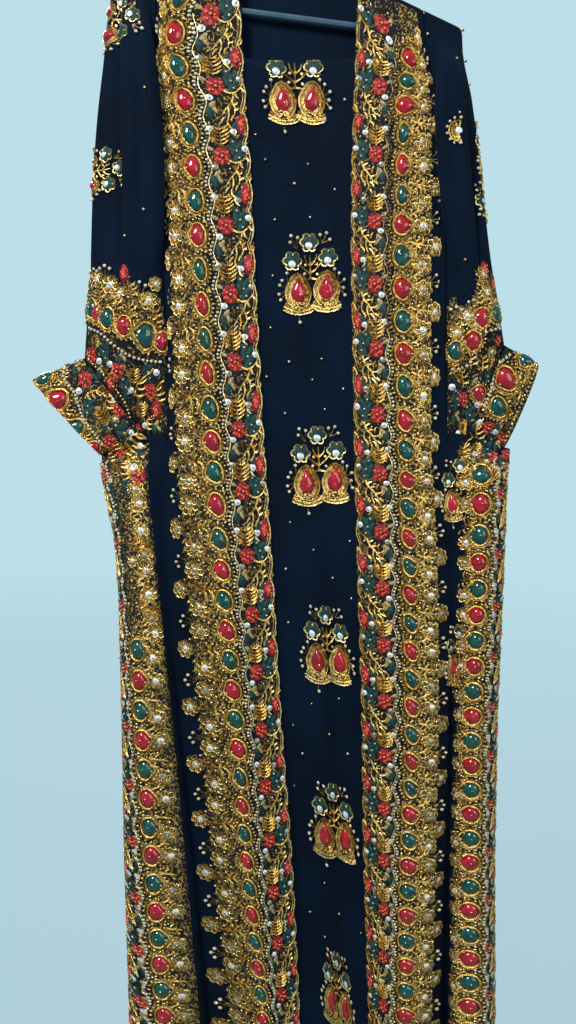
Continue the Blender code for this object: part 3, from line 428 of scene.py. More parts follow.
class Sheet:
    """A smooth sheet of cloth through rows and columns of section points."""

    def __init__(self, control: Sequence[Sequence[Vector]], row_steps: Sequence[int],
                 column_steps: Sequence[int], outward: int, rolled_top: bool = False,
                 rolled_sides: tuple[bool, bool] = (False, False), closed: bool = False) -> None:
        """Draws the sheet.

        Args:
            control: Section points, row by row.
            row_steps: Fine rows in each cell.
            column_steps: Fine columns in each cell.
            outward: 1 or -1, which way the outer side faces.
            rolled_top: Whether the first row lies on the shoulder seam.
            rolled_sides: Whether the first and last columns lie on a side seam.
            closed: Whether the last column meets the first.
        """
        self.row_steps, self.column_steps = list(row_steps), list(column_steps)
        self.outward, self.closed = outward, closed
        self.rolled_top, self.rolled_sides = rolled_top, rolled_sides
        grid = np.array([[tuple(p) for p in row] for row in control], dtype=float)
        grid = refine(grid, self.row_steps, rolled=(rolled_top, False))
        across = refine(np.swapaxes(grid, 0, 1), self.column_steps, rolled=rolled_sides,
                        closed=closed)
        self.points = np.swapaxes(across, 0, 1).copy()
        self.set_normals()

    def set_normals(self) -> None:
        """Works out the outward direction at every fine point."""
        down = np.gradient(self.points, axis=0)
        across = np.gradient(self.points, axis=1)
        if self.closed:
            across[:, 0] = across[:, -1] = (self.points[:, 1] - self.points[:, -2]) / 2
        self.down, self.across = down, across
        normal = np.cross(down, across) * self.outward
        for end in (0, -1):
            if self.rolled_sides[end]:
                normal[:, end, 1] = 0.0
        if self.rolled_top:
            seam = np.abs(self.points[0, :, 1]) < 0.001
            normal[0, seam] = (0.0, 0.0, 1.0)
        self.normals = unit(normal)

    def fine_row(self, u: np.ndarray) -> np.ndarray:
        """Fine row numbers of control rows u, straight on past both ends."""
        return self._fine(u, self.row_steps)

    def fine_column(self, v: np.ndarray) -> np.ndarray:
        """Fine column numbers of control columns v, straight on past both ends."""
        return self._fine(v, self.column_steps)

    @staticmethod
    def _fine(at: np.ndarray, steps: Sequence[int]) -> np.ndarray:
        """Fine numbers of control numbers."""
        at = np.asarray(at, dtype=float)
        last = len(steps)
        inside = np.interp(at, np.arange(last + 1), np.concatenate([[0], np.cumsum(steps)]))
        return inside + np.minimum(at, 0) * steps[0] + np.maximum(at - last, 0) * steps[-1]

    def place(self, u: np.ndarray, v: np.ndarray, out: np.ndarray | float) -> np.ndarray:
        """Points of the sheet moved out along its direction.

        Args:
            u: Control rows.
            v: Control columns.
            out: Distance out from the cloth.

        Returns:
            One point for each place.
        """
        return self.place_fine(self.fine_row(u), self.fine_column(v), out)

    def place_fine(self, i: np.ndarray, j: np.ndarray, out: np.ndarray | float,
                   held: bool = False) -> np.ndarray:
        """Points of the sheet by fine row and column, moved out along its direction.

        Args:
            i: Fine rows.
            j: Fine columns.
            out: Distance out from the cloth.
            held: Whether places past an edge are held on the edge.

        Returns:
            One point for each place.
        """
        height, width = self.points.shape[:2]
        if held:
            i = np.clip(i, 0, height - 1)
            j = np.mod(j, width - 1) if self.closed else np.clip(j, 0, width - 1)
        point, normal = self.sample(i, j, self.points, self.normals)
        return point + unit(normal) * np.asarray(out, dtype=float)[..., None]

    def sample(self, i: np.ndarray, j: np.ndarray, *fields: np.ndarray) -> list[np.ndarray]:
        """Values of some fields of the fine points, mixed between their four neighbours."""
        height, width = self.points.shape[:2]
        a = np.clip(np.floor(i).astype(int), 0, height - 2)
        b = np.clip(np.floor(j).astype(int), 0, width - 2)
        fi, fj = (i - a)[..., None], (j - b)[..., None]
        mixed = []
        for values in fields:
            top = values[a, b] * (1 - fj) + values[a, b + 1] * fj
            low = values[a + 1, b] * (1 - fj) + values[a + 1, b + 1] * fj
            mixed.append(top * (1 - fi) + low * fi)
        return mixed

    def crease(self, creases: Iterable[tuple], columns: Pair) -> None:
        """Presses soft troughs and ridges into the sheet.

        Args:
            creases: The folds, in millimetres: x and z of each end, depth
            (negative for a trough) and width.
            columns: First and last control column that they touch.
        """
        number = np.arange(self.points.shape[1])
        first, last = (float(self.fine_column(c)) for c in columns)
        near = np.clip(np.minimum(number - first, last - number) / 3.0, 0.0, 1.0)
        shift = np.zeros(self.points.shape[:2])
        flat = self.points[..., (0, 2)] / MM
        for x0, z0, x1, z1, depth, width in creases:
            start = np.array([x0, z0])
            run = np.array([x1, z1]) - start
            t = np.clip(((flat - start) @ run) / (run @ run), 0.0, 1.0)
            gap = np.linalg.norm(flat - start - t[..., None] * run, axis=2)
            fade = np.sin(np.pi * np.clip(t, 0.02, 0.98)) ** 0.6
            shift += depth * MM * fade * np.exp(-(gap / width) ** 2)
        self.points = self.points + self.normals * (shift * near)[..., None]
        self.set_normals()

    def mesh(self, name: str, rows: Pair, columns: Pair, lift: float = 0.0,
             hidden: Callable[[float, float], bool] | None = None) -> bpy.types.Object:
        """Makes a stretch of the sheet as an object, facing out, with its plan as UV.

        Args:
            name: The object's name.
            rows: First and last control row.
            columns: First and last control column.
            lift: Distance out from the cloth.
            hidden: Says which (row, column) cells to leave out.

        Returns:
            The new object, in the scene.
        """
        top, low = (int(round(float(self.fine_row(r)))) for r in rows)
        left, right = (int(round(float(self.fine_column(c)))) for c in columns)
        points = self.points[top:low + 1, left:right + 1]
        normals = self.normals[top:low + 1, left:right + 1]
        plan_down, plan_across = (
            np.cumsum([0, *np.linalg.norm(np.diff(points, axis=k), axis=2).mean(axis=1 - k)])
            for k in (0, 1))
        points = points + normals * lift
        rows_of, columns_of = (
            np.interp(np.arange(first, last + 1), np.concatenate([[0], np.cumsum(steps)]),
                      np.arange(len(steps) + 1))
            for first, last, steps in ((top, low, self.row_steps),
                                       (left, right, self.column_steps)))
        count_down, count_across = points.shape[:2]
        mesh = bmesh.new()
        bmesh.ops.create_grid(mesh, x_segments=count_across - 1, y_segments=count_down - 1,
                              size=1.0)
        plan = mesh.loops.layers.uv.new("plan")
        places = {vert: (round((1 - vert.co.y) / 2 * (count_down - 1)),
                         round((vert.co.x + 1) / 2 * (count_across - 1)))
                  for vert in mesh.verts}
        for vert, place in places.items():
            vert.co = points[place]
        gone = []
        for face in mesh.faces:
            for loop in face.loops:
                r, c = places[loop.vert]
                loop[plan].uv = (plan_across[c], -plan_down[r])
            if hidden and hidden(sum(rows_of[places[v][0]] for v in face.verts) / 4,
                                 sum(columns_of[places[v][1]] for v in face.verts) / 4):
                gone.append(face)
        bmesh.ops.delete(mesh, geom=gone, context="FACES")
        mesh.normal_update()
        mesh.faces.ensure_lookup_table()
        middle = mesh.faces[len(mesh.faces) // 2]
        r, c = places[middle.verts[0]]
        if middle.normal.dot(Vector(normals[r, c])) < 0:
            bmesh.ops.reverse_faces(mesh, faces=mesh.faces[:])
        return object_from(mesh, name)


def object_from(mesh: bmesh.types.BMesh, name: str, smooth: bool = True) -> bpy.types.Object:
    """Turns a bmesh into an object in the scene.

    Args:
        mesh: The bmesh, freed here.
        name: The object's name.
        smooth: Whether its faces are shaded smooth.

    Returns:
        The new object.
    """
    data = bpy.data.meshes.new(name)
    mesh.to_mesh(data)
    mesh.free()
    if smooth:
        data.shade_smooth()
    thing = bpy.data.objects.new(name, data)
    bpy.context.scene.collection.objects.link(thing)
    return thing


def fill_hidden(rows: list[list[Vector]], columns: Iterable[int],
                out: float) -> list[list[Vector]]:
    """Fills the unused points above the underarm, straight up from it.

    Args:
        rows: The rows, changed here.
        columns: The columns beside the armhole.
        out: How far they stand back from the seam.

    Returns:
        The rows.
    """
    for k in columns:
        for row in range(UNDERARM_ROW):
            rise = (UNDERARM_ROW - row) * 2 * GEM_PITCH
            rows[row][k] = rows[UNDERARM_ROW][k] + Vector((0.0, out, rise))
    return rows


@dataclass(frozen=True)
class Cut:
    """Section points of the cloth on one side: where the garment's lines run in space."""

    side: int

    def point(self, out: float, depth: float, z: float) -> Vector:
        """A point at a distance out on this side."""
        return Vector((self.side * out, depth, z))

    def beside_arm(self, z: float, back: bool) -> Vector:
        """A point of the sleeve's edge beside the armhole."""
        edge = arm_edge(self.side, z, back)
        return Vector((edge.x + self.side * SEAM, edge.y, edge.z))

    def front(self) -> list[list[Vector]]:
        """Rows of points of the front, side seam first and opening last.

        Returns:
            The rows.
        """
        rows = []
        for row in range(ROW_COUNT):
            line = []
            for k in range(len(LINES)):
                if k < GAP and row < UNDERARM_ROW:
                    line.append(None)
                elif row < TOP_ROWS:
                    x = self.side * line_out(self.side, k, SHOULDER_READ[row == TOP_ROWS - 1])
                    line.append(shoulder_point(x, row, -1))
                else:
                    line.append(self.front_point(k, LEVELS[row - TOP_ROWS]))
            rows.append(line)
        return fill_hidden(rows, range(GAP), -HIDDEN)

    def front_point(self, line: int, level: float) -> Vector:
        """Where one line of the front crosses a level.

        Args:
            line: Number of the line.
            level: The level's height.

        Returns:
            The point.
        """
        z = level_height(level, self.side * line_out(self.side, line, level))
        out = line_out(self.side, line, z)
        if line == GAP and z >= UNDERARM_Z:
            return arm_edge(self.side, z, False)
        if level == UNDERARM_Z and line < GAP:
            depth = UNDERARM_EDGE if line == GAP - 1 else 0.0
            return self.point(out, -depth, corner_z(self.side, out))
        depth = body_depth(z, False)
        if z < UNDERARM_Z:
            depth *= side_roll(line_out(self.side, 0, z) - out, z)
        depth += between(FOLD_HEIGHTS, FOLDS[self.side][line], z) * MM
        return self.point(out, -max(depth, 0.0), z)

    def back_arm_point(self, row: int, level: float | None) -> Vector:
        """Back armhole line, which runs on down the inner edge of the side border."""
        if level is None:
            return shoulder_point(arm_edge(self.side, LEVELS[0], True).x, row, 1)
        if level >= UNDERARM_Z:
            height = level_height(level, arm_edge(self.side, level, True).x)
            return arm_edge(self.side, height, True)
        wide = BACK_HALF[self.side]
        out = between((UNDERARM_Z, HEM_Z), (wide, wide - BACK_HALF_TAPER), level)
        return self.point(out, body_depth(level, True) - BACK_SIDE_FALL, level)

    def back_side_point(self, inset: float, row: int, level: float | None) -> Vector:
        """A line of the back beside the side seam, which it shares with the front."""
        z = UNDERARM_Z if level is None or level > UNDERARM_Z else level
        edge = line_out(self.side, 0, z)
        out = edge - inset
        if row <= UNDERARM_ROW:
            return self.point(out, 0.0, corner_z(self.side, out))
        return self.point(out, body_depth(z, True) * side_roll(edge - out, z), z)

    @staticmethod
    def back() -> list[list[Vector]]:
        """Rows of points of the back, from the left side seam to the right one.

        Returns:
            The rows.
        """
        left, right = Cut(-1), Cut(1)
        rows = []
        for row in range(ROW_COUNT):
            level = None if row < TOP_ROWS else LEVELS[row - TOP_ROWS]
            rows.append([left.back_side_point(inset, row, level) for inset in BACK_SIDE_INSETS]
                        + [left.back_arm_point(row, level)]
                        + [Cut.back_point(row, level, *fold) for fold in BACK_FOLDS]
                        + [right.back_arm_point(row, level)]
                        + [right.back_side_point(inset, row, level)
                           for inset in BACK_SIDE_INSETS[::-1]])
        last = len(rows[0]) - 1
        return fill_hidden(rows, (0, 1, 2, last - 2, last - 1, last), HIDDEN)

    @staticmethod
    def back_point(row: int, level: float | None, share: float, *fold: float) -> Vector:
        """One point of the back between its armhole lines.

        Args:
            row: Row number.
            level: Height of the row, or None on the shoulder.
            share: Share of the half width.
            fold: How far the line stands back, in millimetres, at each fold height.

        Returns:
            The point.
        """
        x = -share * BACK_HALF[-1 if share > 0 else 1]
        if level is not None:
            z = level_height(level, x)
            return Vector((x, body_depth(z, True) + between(FOLD_HEIGHTS, fold, z) * MM, z))
        if abs(share) == NECK_SHARE:
            return shoulder_point(math.copysign(NECK_HALF, x) - NECK_SHIFT, row, 1)
        if abs(share) < NECK_SHARE:
            return Cut.back_neck_point(x, row)
        return shoulder_point(x, row, 1)

    @staticmethod
    def back_neck_point(x: float, row: int) -> Vector:
        """A point of the back neck edge or of a row below it, clear of the hanger."""
        drop = SHOULDER_ROWS[row][0]
        across = min(max((x + NECK_HALF) / (2 * NECK_HALF), 0.0), 1.0)
        ends = [shoulder_z(share * NECK_HALF) for share in (-1, 1)]
        dip = BACK_NECK_DIP * (4 * across * (1 - across)) ** 3
        height = ends[0] * (1 - across) + ends[1] * across - dip
        return Vector((x, BACK_NECK_DEPTH + 0.0004 * drop, height - drop * SEAM_R * 0.9))

    @staticmethod
    def center(left: Sheet, right: Sheet) -> list[list[Vector]]:
        """Rows of points of the centre panel, which laps behind both fronts.

        Args:
            left: The left front's sheet.
            right: The right front's sheet.

        Returns:
            The rows.
        """
        rows = []
        for row in range(TOP_ROWS, ROW_COUNT):
            ends = []
            for sheet, k in ((left, STRIP), (left, OPENING), (right, OPENING), (right, STRIP)):
                u = float(row)
                if row == TOP_ROWS:
                    z = NECKLINE_Z[0] if k == STRIP else NECKLINE_Z[1]
                    u += (LEVELS[0] - z) / (LEVELS[0] - LEVELS[1])
                ends.append(Vector(sheet.place(np.array([u]), np.array([float(k)]),
                                               -(CLOTH + SEAM))[0]))
            line = []
            for k, (share, *fold) in enumerate(CENTER_FOLDS):
                point = ends[1].lerp(ends[2], share)
                point.y += between(FOLD_HEIGHTS, fold, LEVELS[row - TOP_ROWS]) * MM
                if row == TOP_ROWS:
                    point.z = NECKLINE_Z[k + 2]
                line.append(point)
            rows.append(ends[:2] + line + ends[2:])
        return rows

    def sleeve(self) -> list[list[Vector]]:
        """Rows of points of the sleeve: armhole, pleat, outer fold and round to the back.

        Returns:
            The rows.
        """
        rows = [self.sleeve_shoulder_row(row) for row in range(TOP_ROWS)]
        rows += [self.sleeve_row(z) for z in LEVELS[:4]]
        top, end = self.sleeve_row(SLEEVE_BAND_TOP), self.sleeve_end_row()
        for share in SLEEVE_BAND_ROWS:
            line = []
            for k, (a, b) in enumerate(zip(top, end)):
                point = a.lerp(b, share)
                if k in (0, len(top) - 1):
                    point = self.beside_arm(point.z, k > 0)
                elif abs(point.y) > 0.002:
                    point.y += math.copysign(0.006 * math.sin(math.pi * share), point.y)
                line.append(point)
            rows.append(line)
        rows[-1][3].y = -UNDERARM_HALF
        rows[-1][-2].y = UNDERARM_HALF
        return rows

    def sleeve_shoulder_row(self, row: int) -> list[Vector]:
        """One row of the sleeve round the hanger's arm."""
        inner, inner_back = (abs(arm_edge(self.side, LEVELS[0], back).x) + SEAM
                             for back in (False, True))
        outer = SLEEVE_TOP_END[self.side] + SLEEVE_TOP_FLARE[row]
        count = len(SLEEVE[self.side][0][1])
        line = [shoulder_point(self.side * (inner + (outer - inner) * k / count), row, -1)
                for k in range(count + 1)]
        line[-1].y = 0.0
        line += [shoulder_point(self.side * (inner_back + (outer - inner_back) * share), row, 1)
                 for share in (*(share for share, _ in SLEEVE_BACK), 0.0)]
        if row == TOP_ROWS - 1:
            below = self.sleeve_row(LEVELS[0])
            for k in range(1, count):
                height = line[k].z
                line[k] = line[k].lerp(below[k], PLEAT_START)
                line[k].z = height
        return line

    def sleeve_row(self, z: float) -> list[Vector]:
        """One level row of the sleeve."""
        table = SLEEVE[self.side]
        knots = [entry[0] for entry in table]

        def read(part: int, line: int, at: float) -> float:
            """Distance out (1) or depth (2) of one line at a height."""
            return between(knots, [entry[part][line] for entry in table], at) * MM

        front, back = (self.beside_arm(level_height(z, arm_edge(self.side, z, behind).x), behind)
                       for behind in (False, True))
        line = [front]
        for k in range(len(table[0][1])):
            height = level_height(z, self.side * read(1, k, z))
            line.append(self.point(read(1, k, height), -read(2, k, height), height))
        start, fold = abs(back.x), abs(line[-1].x)
        for share, rounding in SLEEVE_BACK:
            out = start + (fold - start) * share
            line.append(self.point(out, back.y * rounding, level_height(z, self.side * out)))
        return line + [back]

    def sleeve_end_row(self) -> list[Vector]:
        """The last row of the sleeve, along the cuff seam and the underarm."""
        (top_out, top_z), (low_out, low_z) = CUFF_SEAM[self.side]
        front, back = (arm_edge(self.side, UNDERARM_Z, behind) for behind in (False, True))
        line = [Vector((front.x + self.side * SEAM, front.y, low_z))]
        start = abs(front.x)
        for k, (share, depth) in enumerate(zip(CUFF_SEAM_SHARES, CUFF_SEAM_DEPTH)):
            out = low_out + (top_out - low_out) * share
            if k < len(CUFF_SEAM_START):
                out = start + (low_out - start) * CUFF_SEAM_START[k]
            line.append(self.point(out, -depth * MM, low_z + (top_z - low_z) * share))
        for share, depth in CUFF_SEAM_BACK:
            line.append(self.point(low_out + (top_out - low_out) * share, depth,
                                   low_z + (top_z - low_z) * share))
        return line + [Vector((back.x + self.side * SEAM, back.y, low_z))]

    def cuff(self) -> list[list[Vector]]:
        """Rings of points of the cuff, from the sleeve seam to the open end.

        Returns:
            The rings.
        """
        (top_out, top_z), (low_out, low_z) = CUFF_SEAM[self.side]
        axis = Vector((self.side * (top_z - low_z), 0.0, low_out - top_out)).normalized()
        top_a = self.point(top_out, 0.0, top_z) + axis * LAP
        low_a = self.point(low_out, 0.0, low_z) + axis * LAP
        top_b, low_b = (self.point(*corner) for corner in CUFF_END[self.side])
        along = (top_b - top_a + low_b - low_a).normalized()
        rings = []
        for share in CUFF_ROWS:
            high, low = top_a.lerp(top_b, share), low_a.lerp(low_b, share)
            middle, half = high.lerp(low, 0.5), (high - low) / 2
            forward = half.cross(along if share > 0 else axis).normalized()
            if forward.y > 0:
                forward = -forward
            thick = between((0.0, -1.0), CUFF_THICK, -share)
            ring = []
            for k in range(CUFF_AROUND + 1):
                angle = 2 * math.pi * (k % CUFF_AROUND) / CUFF_AROUND
                flat = math.sin(angle)
                lift = math.copysign(abs(flat) ** 0.8, flat) * thick
                ring.append(middle + half * math.cos(angle) + forward * lift)
            rings.append(ring)
        return rings


def feed(tree: Tree, node: bpy.types.Node, inputs: dict) -> None:
    """Sets inputs of a node: a socket is linked, anything else is its value."""
    for name, value in inputs.items():
        if isinstance(value, Socket):
            tree.links.new(value, node.inputs[name])
        else:
            node.inputs[name].default_value = value


def add_node(tree: Tree, kind: str, output: str, inputs: dict, **options: object) -> Socket:
    """Adds a node to a tree.

    Args:
        tree: The tree.
        kind: The node's type, without its prefix.
        output: Name of the output that is wanted.
        inputs: A value or a socket for each input that is set.
        options: The node's own settings.

    Returns:
        That output.
    """
    node = tree.nodes.new(f"ShaderNode{kind}")
    for name, value in options.items():
        setattr(node, name, value)
    feed(tree, node, inputs)
    return node.outputs[output]


def add_ramp(tree: Tree, share: Socket, *stops: tuple[float, Color]) -> Socket:
    """Adds a colour ramp of two stops, each a place and a colour."""
    ramp = tree.nodes.new("ShaderNodeValToRGB")
    for stop, (position, color) in zip(ramp.color_ramp.elements, stops):
        stop.position, stop.color = position, (*color, 1.0)
    feed(tree, ramp, {"Fac": share})
    return ramp.outputs["Color"]


@dataclass(frozen=True)
class Finish:
    """A procedural finish of one kind of thing on the garment."""

    name: str
    color: Color
    dark: Color
    rough: float = 0.5
    metal: float = 0.0
    coat: float = 0.0
    sheen: float = 0.0
    gloss: float = 0.5
    patch: float = 90.0
    grain: float = 900.0
    bump: float = 0.2
    grain_depth: float = 0.0006

    def build(self) -> bpy.types.Material:
        """Makes the material: two tones in soft patches, and what dress adds.

        Returns:
            The material.
        """
        mat = bpy.data.materials.new(self.name)
        mat.use_nodes = True
        tree = mat.node_tree
        place = add_node(tree, "TexCoord", "Object", {})
        patches = add_node(tree, "TexNoise", "Fac",
                           {"Scale": self.patch, "Detail": 3.0, "Vector": place})
        tone = add_ramp(tree, patches, (0.36, self.dark), (0.62, self.color))
        rough = add_node(tree, "MapRange", "Result", {
            "Value": patches, "To Min": max(self.rough - 0.08, 0.02),
            "To Max": min(self.rough + 0.12, 1.0)})
        feed(tree, tree.nodes["Principled BSDF"], {
            "Metallic": self.metal, "Coat Weight": self.coat, "Coat Roughness": 0.05,
            "Sheen Weight": self.sheen, "Sheen Roughness": 0.45,
            "Specular IOR Level": self.gloss, "Roughness": rough, "Base Color": tone,
            **self.dress(tree, place, tone)})
        return mat

    def raised(self, tree: Tree, height: Socket, invert: bool = False) -> Socket:
        """The normal of a relief of one height."""
        return add_node(tree, "Bump", "Normal",
                        {"Strength": self.bump, "Distance": self.grain_depth, "Height": height},
                        invert=invert)

    def dress(self, tree: Tree, place: Socket, tone: Socket) -> dict[str, Socket]:
        """What this kind of finish adds to the two tones: here a fine grain.

        Args:
            tree: The material's node tree.
            place: Where on the garment a point is.
            tone: The mixed colour.

        Returns:
            The shader's inputs that it sets.
        """
        grain = add_node(tree, "TexNoise", "Fac",
                         {"Scale": self.grain, "Detail": 2.0, "Vector": place})
        return {"Normal": self.raised(tree, grain)}


@dataclass(frozen=True)
class WovenFinish(Finish):
    """A finish with warp and weft along the piece's own plan."""

    thread: float = 0.0011

    def dress(self, tree: Tree, place: Socket, tone: Socket) -> dict[str, Socket]:
        """The weave: crossing threads with a crepe's unevenness."""
        plan = add_node(tree, "UVMap", "UV", {}, uv_map="plan")
        warp, weft = (
            add_node(tree, "TexWave", "Fac",
                     {"Scale": math.pi / (self.thread * 10), "Distortion": 1.5, "Detail": 1.0,
                      "Vector": plan}, bands_direction=way) for way in "XY")
        threads = add_node(tree, "Math", "Value", {0: warp, 1: weft}, operation="MULTIPLY")
        crepe = add_node(tree, "TexNoise", "Fac", {"Scale": self.grain, "Vector": place})
        uneven = add_node(tree, "Math", "Value", {0: threads, 1: crepe}, operation="ADD")
        return {"Normal": self.raised(tree, uneven)}


@dataclass(frozen=True)
class ZariGround(WovenFinish):
    """Cloth under the embroidery, with fine metal threads worked all over it."""

    cover: float = 0.5

    def dress(self, tree: Tree, place: Socket, tone: Socket) -> dict[str, Socket]:
        """The weave, with gold stitches where a swirling pattern is high."""
        swirl = add_node(tree, "TexNoise", "Fac", {
            "Scale": 150.0, "Distortion": 2.2, "Detail": 2.0, "Vector": place})
        cells = add_node(tree, "TexVoronoi", "Distance", {"Scale": 420.0, "Vector": place})
        beads = add_node(tree, "Math", "Value", {0: cells, 1: -0.30, 2: swirl},
                         operation="MULTIPLY_ADD")
        edge = 0.50 - self.cover * 0.25
        mask = add_node(tree, "MapRange", "Result",
                        {"Value": beads, "From Min": edge, "From Max": edge + 0.06})
        gold = add_node(tree, "Mix", "Result",
                        {"Factor": mask, "A": tone, "B": (0.54, 0.36, 0.10, 1.0)},
                        data_type="RGBA")
        return {**super().dress(tree, place, tone), "Base Color": gold, "Metallic": mask}


@dataclass(frozen=True)
class BeadworkFinish(Finish):
    """Small gold beads sewn close together, with dark thread between them."""

    def dress(self, tree: Tree, place: Socket, tone: Socket) -> dict[str, Socket]:
        """Round beads in cells, dark at the joins."""
        cells = add_node(tree, "TexVoronoi", "Distance",
                         {"Scale": self.patch, "Vector": place})
        return {"Base Color": add_ramp(tree, cells, (0.30, self.color), (0.62, self.dark)),
                "Normal": self.raised(tree, cells, True)}


class Palette:
    """Every finish of the garment, built once."""

    FINISHES = (
        WovenFinish("navy georgette", (0.0010, 0.0078, 0.0230), (0.0005, 0.0045, 0.0135), 0.80,
                    sheen=0.02, gloss=0.09, patch=9.0, grain=1500.0, bump=0.35,
                    grain_depth=0.0005),
        ZariGround("stitched border ground", (0.010, 0.010, 0.012), (0.004, 0.005, 0.008),
                   0.60, gloss=0.25, patch=60.0, grain=1200.0, bump=0.5, cover=0.44),
        ZariGround("dark border ground", (0.005, 0.008, 0.014), (0.002, 0.004, 0.008),
                   0.70, gloss=0.2, patch=60.0, grain=1200.0, bump=0.4, cover=0.16),
        Finish("gold cord", (0.98, 0.65, 0.19), (0.42, 0.24, 0.05), 0.26, metal=0.86,
               patch=170.0, grain=1400.0, bump=0.8, grain_depth=0.0009),
        Finish("antique gold thread", (0.60, 0.39, 0.12), (0.12, 0.070, 0.020), 0.34,
               metal=0.86, patch=190.0, grain=1600.0, bump=0.9, grain_depth=0.0009),
        Finish("pale gold piping", (1.0, 0.82, 0.40), (0.62, 0.42, 0.13), 0.24, metal=0.86,
               patch=260.0, grain=1500.0, bump=0.6, grain_depth=0.0008),
        BeadworkFinish("gold beadwork", (0.92, 0.59, 0.16), (0.035, 0.020, 0.008), 0.30,
                       metal=0.8, patch=430.0, bump=1.0, grain_depth=0.0012),
        Finish("red glass", (0.50, 0.004, 0.020), (0.24, 0.002, 0.010), 0.10, coat=0.8,
               patch=120.0, grain=300.0, bump=0.10),
        Finish("green glass", (0.003, 0.090, 0.072), (0.001, 0.034, 0.030), 0.10, coat=0.8,
               patch=120.0, grain=300.0, bump=0.10),
        Finish("pearl", (0.78, 0.70, 0.52), (0.46, 0.38, 0.24), 0.20, coat=0.6,
               patch=300.0, grain=600.0, bump=0.05),
        # Dim pearl: a duller pearl tone, and also painted shade on the pearls that lie under a
        # fold.
        Finish("dim pearl", (0.22, 0.15, 0.09), (0.09, 0.055, 0.035), 0.26, coat=0.5,
               patch=300.0, grain=600.0, bump=0.05),
        Finish("silver sequin", (0.88, 0.90, 0.92), (0.60, 0.66, 0.72), 0.30, metal=0.35,
               coat=0.5, patch=260.0, grain=700.0, bump=0.25),
        Finish("dull sequin", (0.42, 0.42, 0.34), (0.20, 0.19, 0.14), 0.34, metal=0.5,
               patch=260.0, grain=700.0, bump=0.25),
        Finish("orange satin stitch", (0.84, 0.120, 0.028), (0.42, 0.012, 0.016), 0.40,
               sheen=0.1, patch=330.0, grain=1300.0, bump=0.8, grain_depth=0.0010),
        Finish("crimson satin stitch", (0.44, 0.010, 0.018), (0.13, 0.002, 0.006), 0.40,
               gloss=0.3, patch=330.0, grain=1300.0, bump=0.8, grain_depth=0.0010),
        Finish("peach highlight stitch", (0.90, 0.40, 0.22), (0.85, 0.20, 0.09), 0.30,
               sheen=0.2, coat=0.3, patch=330.0, grain=1300.0, bump=0.5),
        Finish("teal satin stitch", (0.004, 0.062, 0.055), (0.001, 0.018, 0.022), 0.42,
               gloss=0.35, patch=330.0, grain=1300.0, bump=0.8, grain_depth=0.0010),
        Finish("cream satin stitch", (0.52, 0.41, 0.20), (0.26, 0.19, 0.08), 0.45,
               gloss=0.4, patch=330.0, grain=1300.0, bump=0.8, grain_depth=0.0010),
        Finish("slate plastic", (0.058, 0.115, 0.165), (0.046, 0.092, 0.138), 0.34,
               coat=0.15, patch=30.0, grain=600.0, bump=0.06),
        Finish("hook steel", (0.55, 0.57, 0.60), (0.40, 0.42, 0.45), 0.28, metal=1.0,
               patch=80.0, grain=900.0, bump=0.1),
    )

    def __init__(self) -> None:
        """Builds every finish."""
        self.materials = {finish.name: finish.build() for finish in self.FINISHES}

    def __getitem__(self, name: str) -> bpy.types.Material:
        """The material of one name."""
        return self.materials[name]


@dataclass
class Stamp:
    """A small shape, flat on its plan: across, down and out in metres."""

    points: np.ndarray
    faces: list[tuple[int, ...]]

    @classmethod
    def of(cls, mesh: bmesh.types.BMesh) -> "Stamp":
        """Takes a shape from a bmesh, x across, y up and z out, and frees it."""
        mesh.verts.index_update()
        points = np.array([(v.co.x, -v.co.y, v.co.z) for v in mesh.verts])
        faces = [tuple(v.index for v in face.verts) for face in mesh.faces]
        mesh.free()
        return cls(points, faces)

    @classmethod
    def bead(cls, radius: float, flat: float = 1.0, segments: int = 6,
             rings: int = 4) -> "Stamp":
        """A small round bead that sits on the cloth.

        Args:
            radius: Its radius.
            flat: Height over width.
            segments: Sides round it.
            rings: Rings up it.

        Returns:
            The shape.
        """
        mesh = bmesh.new()
        bmesh.ops.create_uvsphere(mesh, u_segments=segments, v_segments=rings, radius=radius)
        bmesh.ops.scale(mesh, vec=(1, 1, flat), verts=mesh.verts)
        bmesh.ops.translate(mesh, vec=(0, 0, radius * flat * 0.9), verts=mesh.verts)
        return cls.of(mesh)

    @classmethod
    def sequin(cls, radius: float, segments: int = 9) -> "Stamp":
        """A thin cupped disc."""
        mesh = bmesh.new()
        bmesh.ops.create_cone(mesh, cap_ends=True, segments=segments, radius1=radius,
                              radius2=radius * 0.55, depth=0.0010)
        bmesh.ops.translate(mesh, vec=(0, 0, 0.0008), verts=mesh.verts)
        return cls.of(mesh)

    @classmethod
    def dome(cls, outline: Outline, rise: float, segments: int = 14, rings: int = 6) -> "Stamp":
        """A low dome over an outline, flat underneath.

        Args:
            outline: Gives (across, up) at an angle.
            rise: Its height.
            segments: Points round it.
            rings: Rings of the sphere that it starts from, an even number.

        Returns:
            The shape.
        """
        mesh = bmesh.new()
        bmesh.ops.create_uvsphere(mesh, u_segments=segments, v_segments=rings, radius=1.0)
        everything = mesh.verts[:] + mesh.edges[:] + mesh.faces[:]
        cut = bmesh.ops.bisect_plane(mesh, geom=everything, plane_co=(0, 0, -0.001),
                                     plane_no=(0, 0, 1), clear_inner=True)
        rim = [item for item in cut["geom_cut"] if isinstance(item, bmesh.types.BMEdge)]
        bmesh.ops.edgeloop_fill(mesh, edges=rim)
        bmesh.ops.recalc_face_normals(mesh, faces=mesh.faces)
        for vert in mesh.verts:
            share = math.hypot(vert.co.x, vert.co.y)
            x, y = outline(math.atan2(vert.co.y, vert.co.x))
            vert.co = Vector((x * share, y * share, max(vert.co.z, 0.0) * rise))
        return cls.of(mesh)


def oval(wide: float, high: float) -> Outline:
    """An oval outline of half sizes wide and high."""
    return lambda angle: (wide * math.cos(angle), high * math.sin(angle))


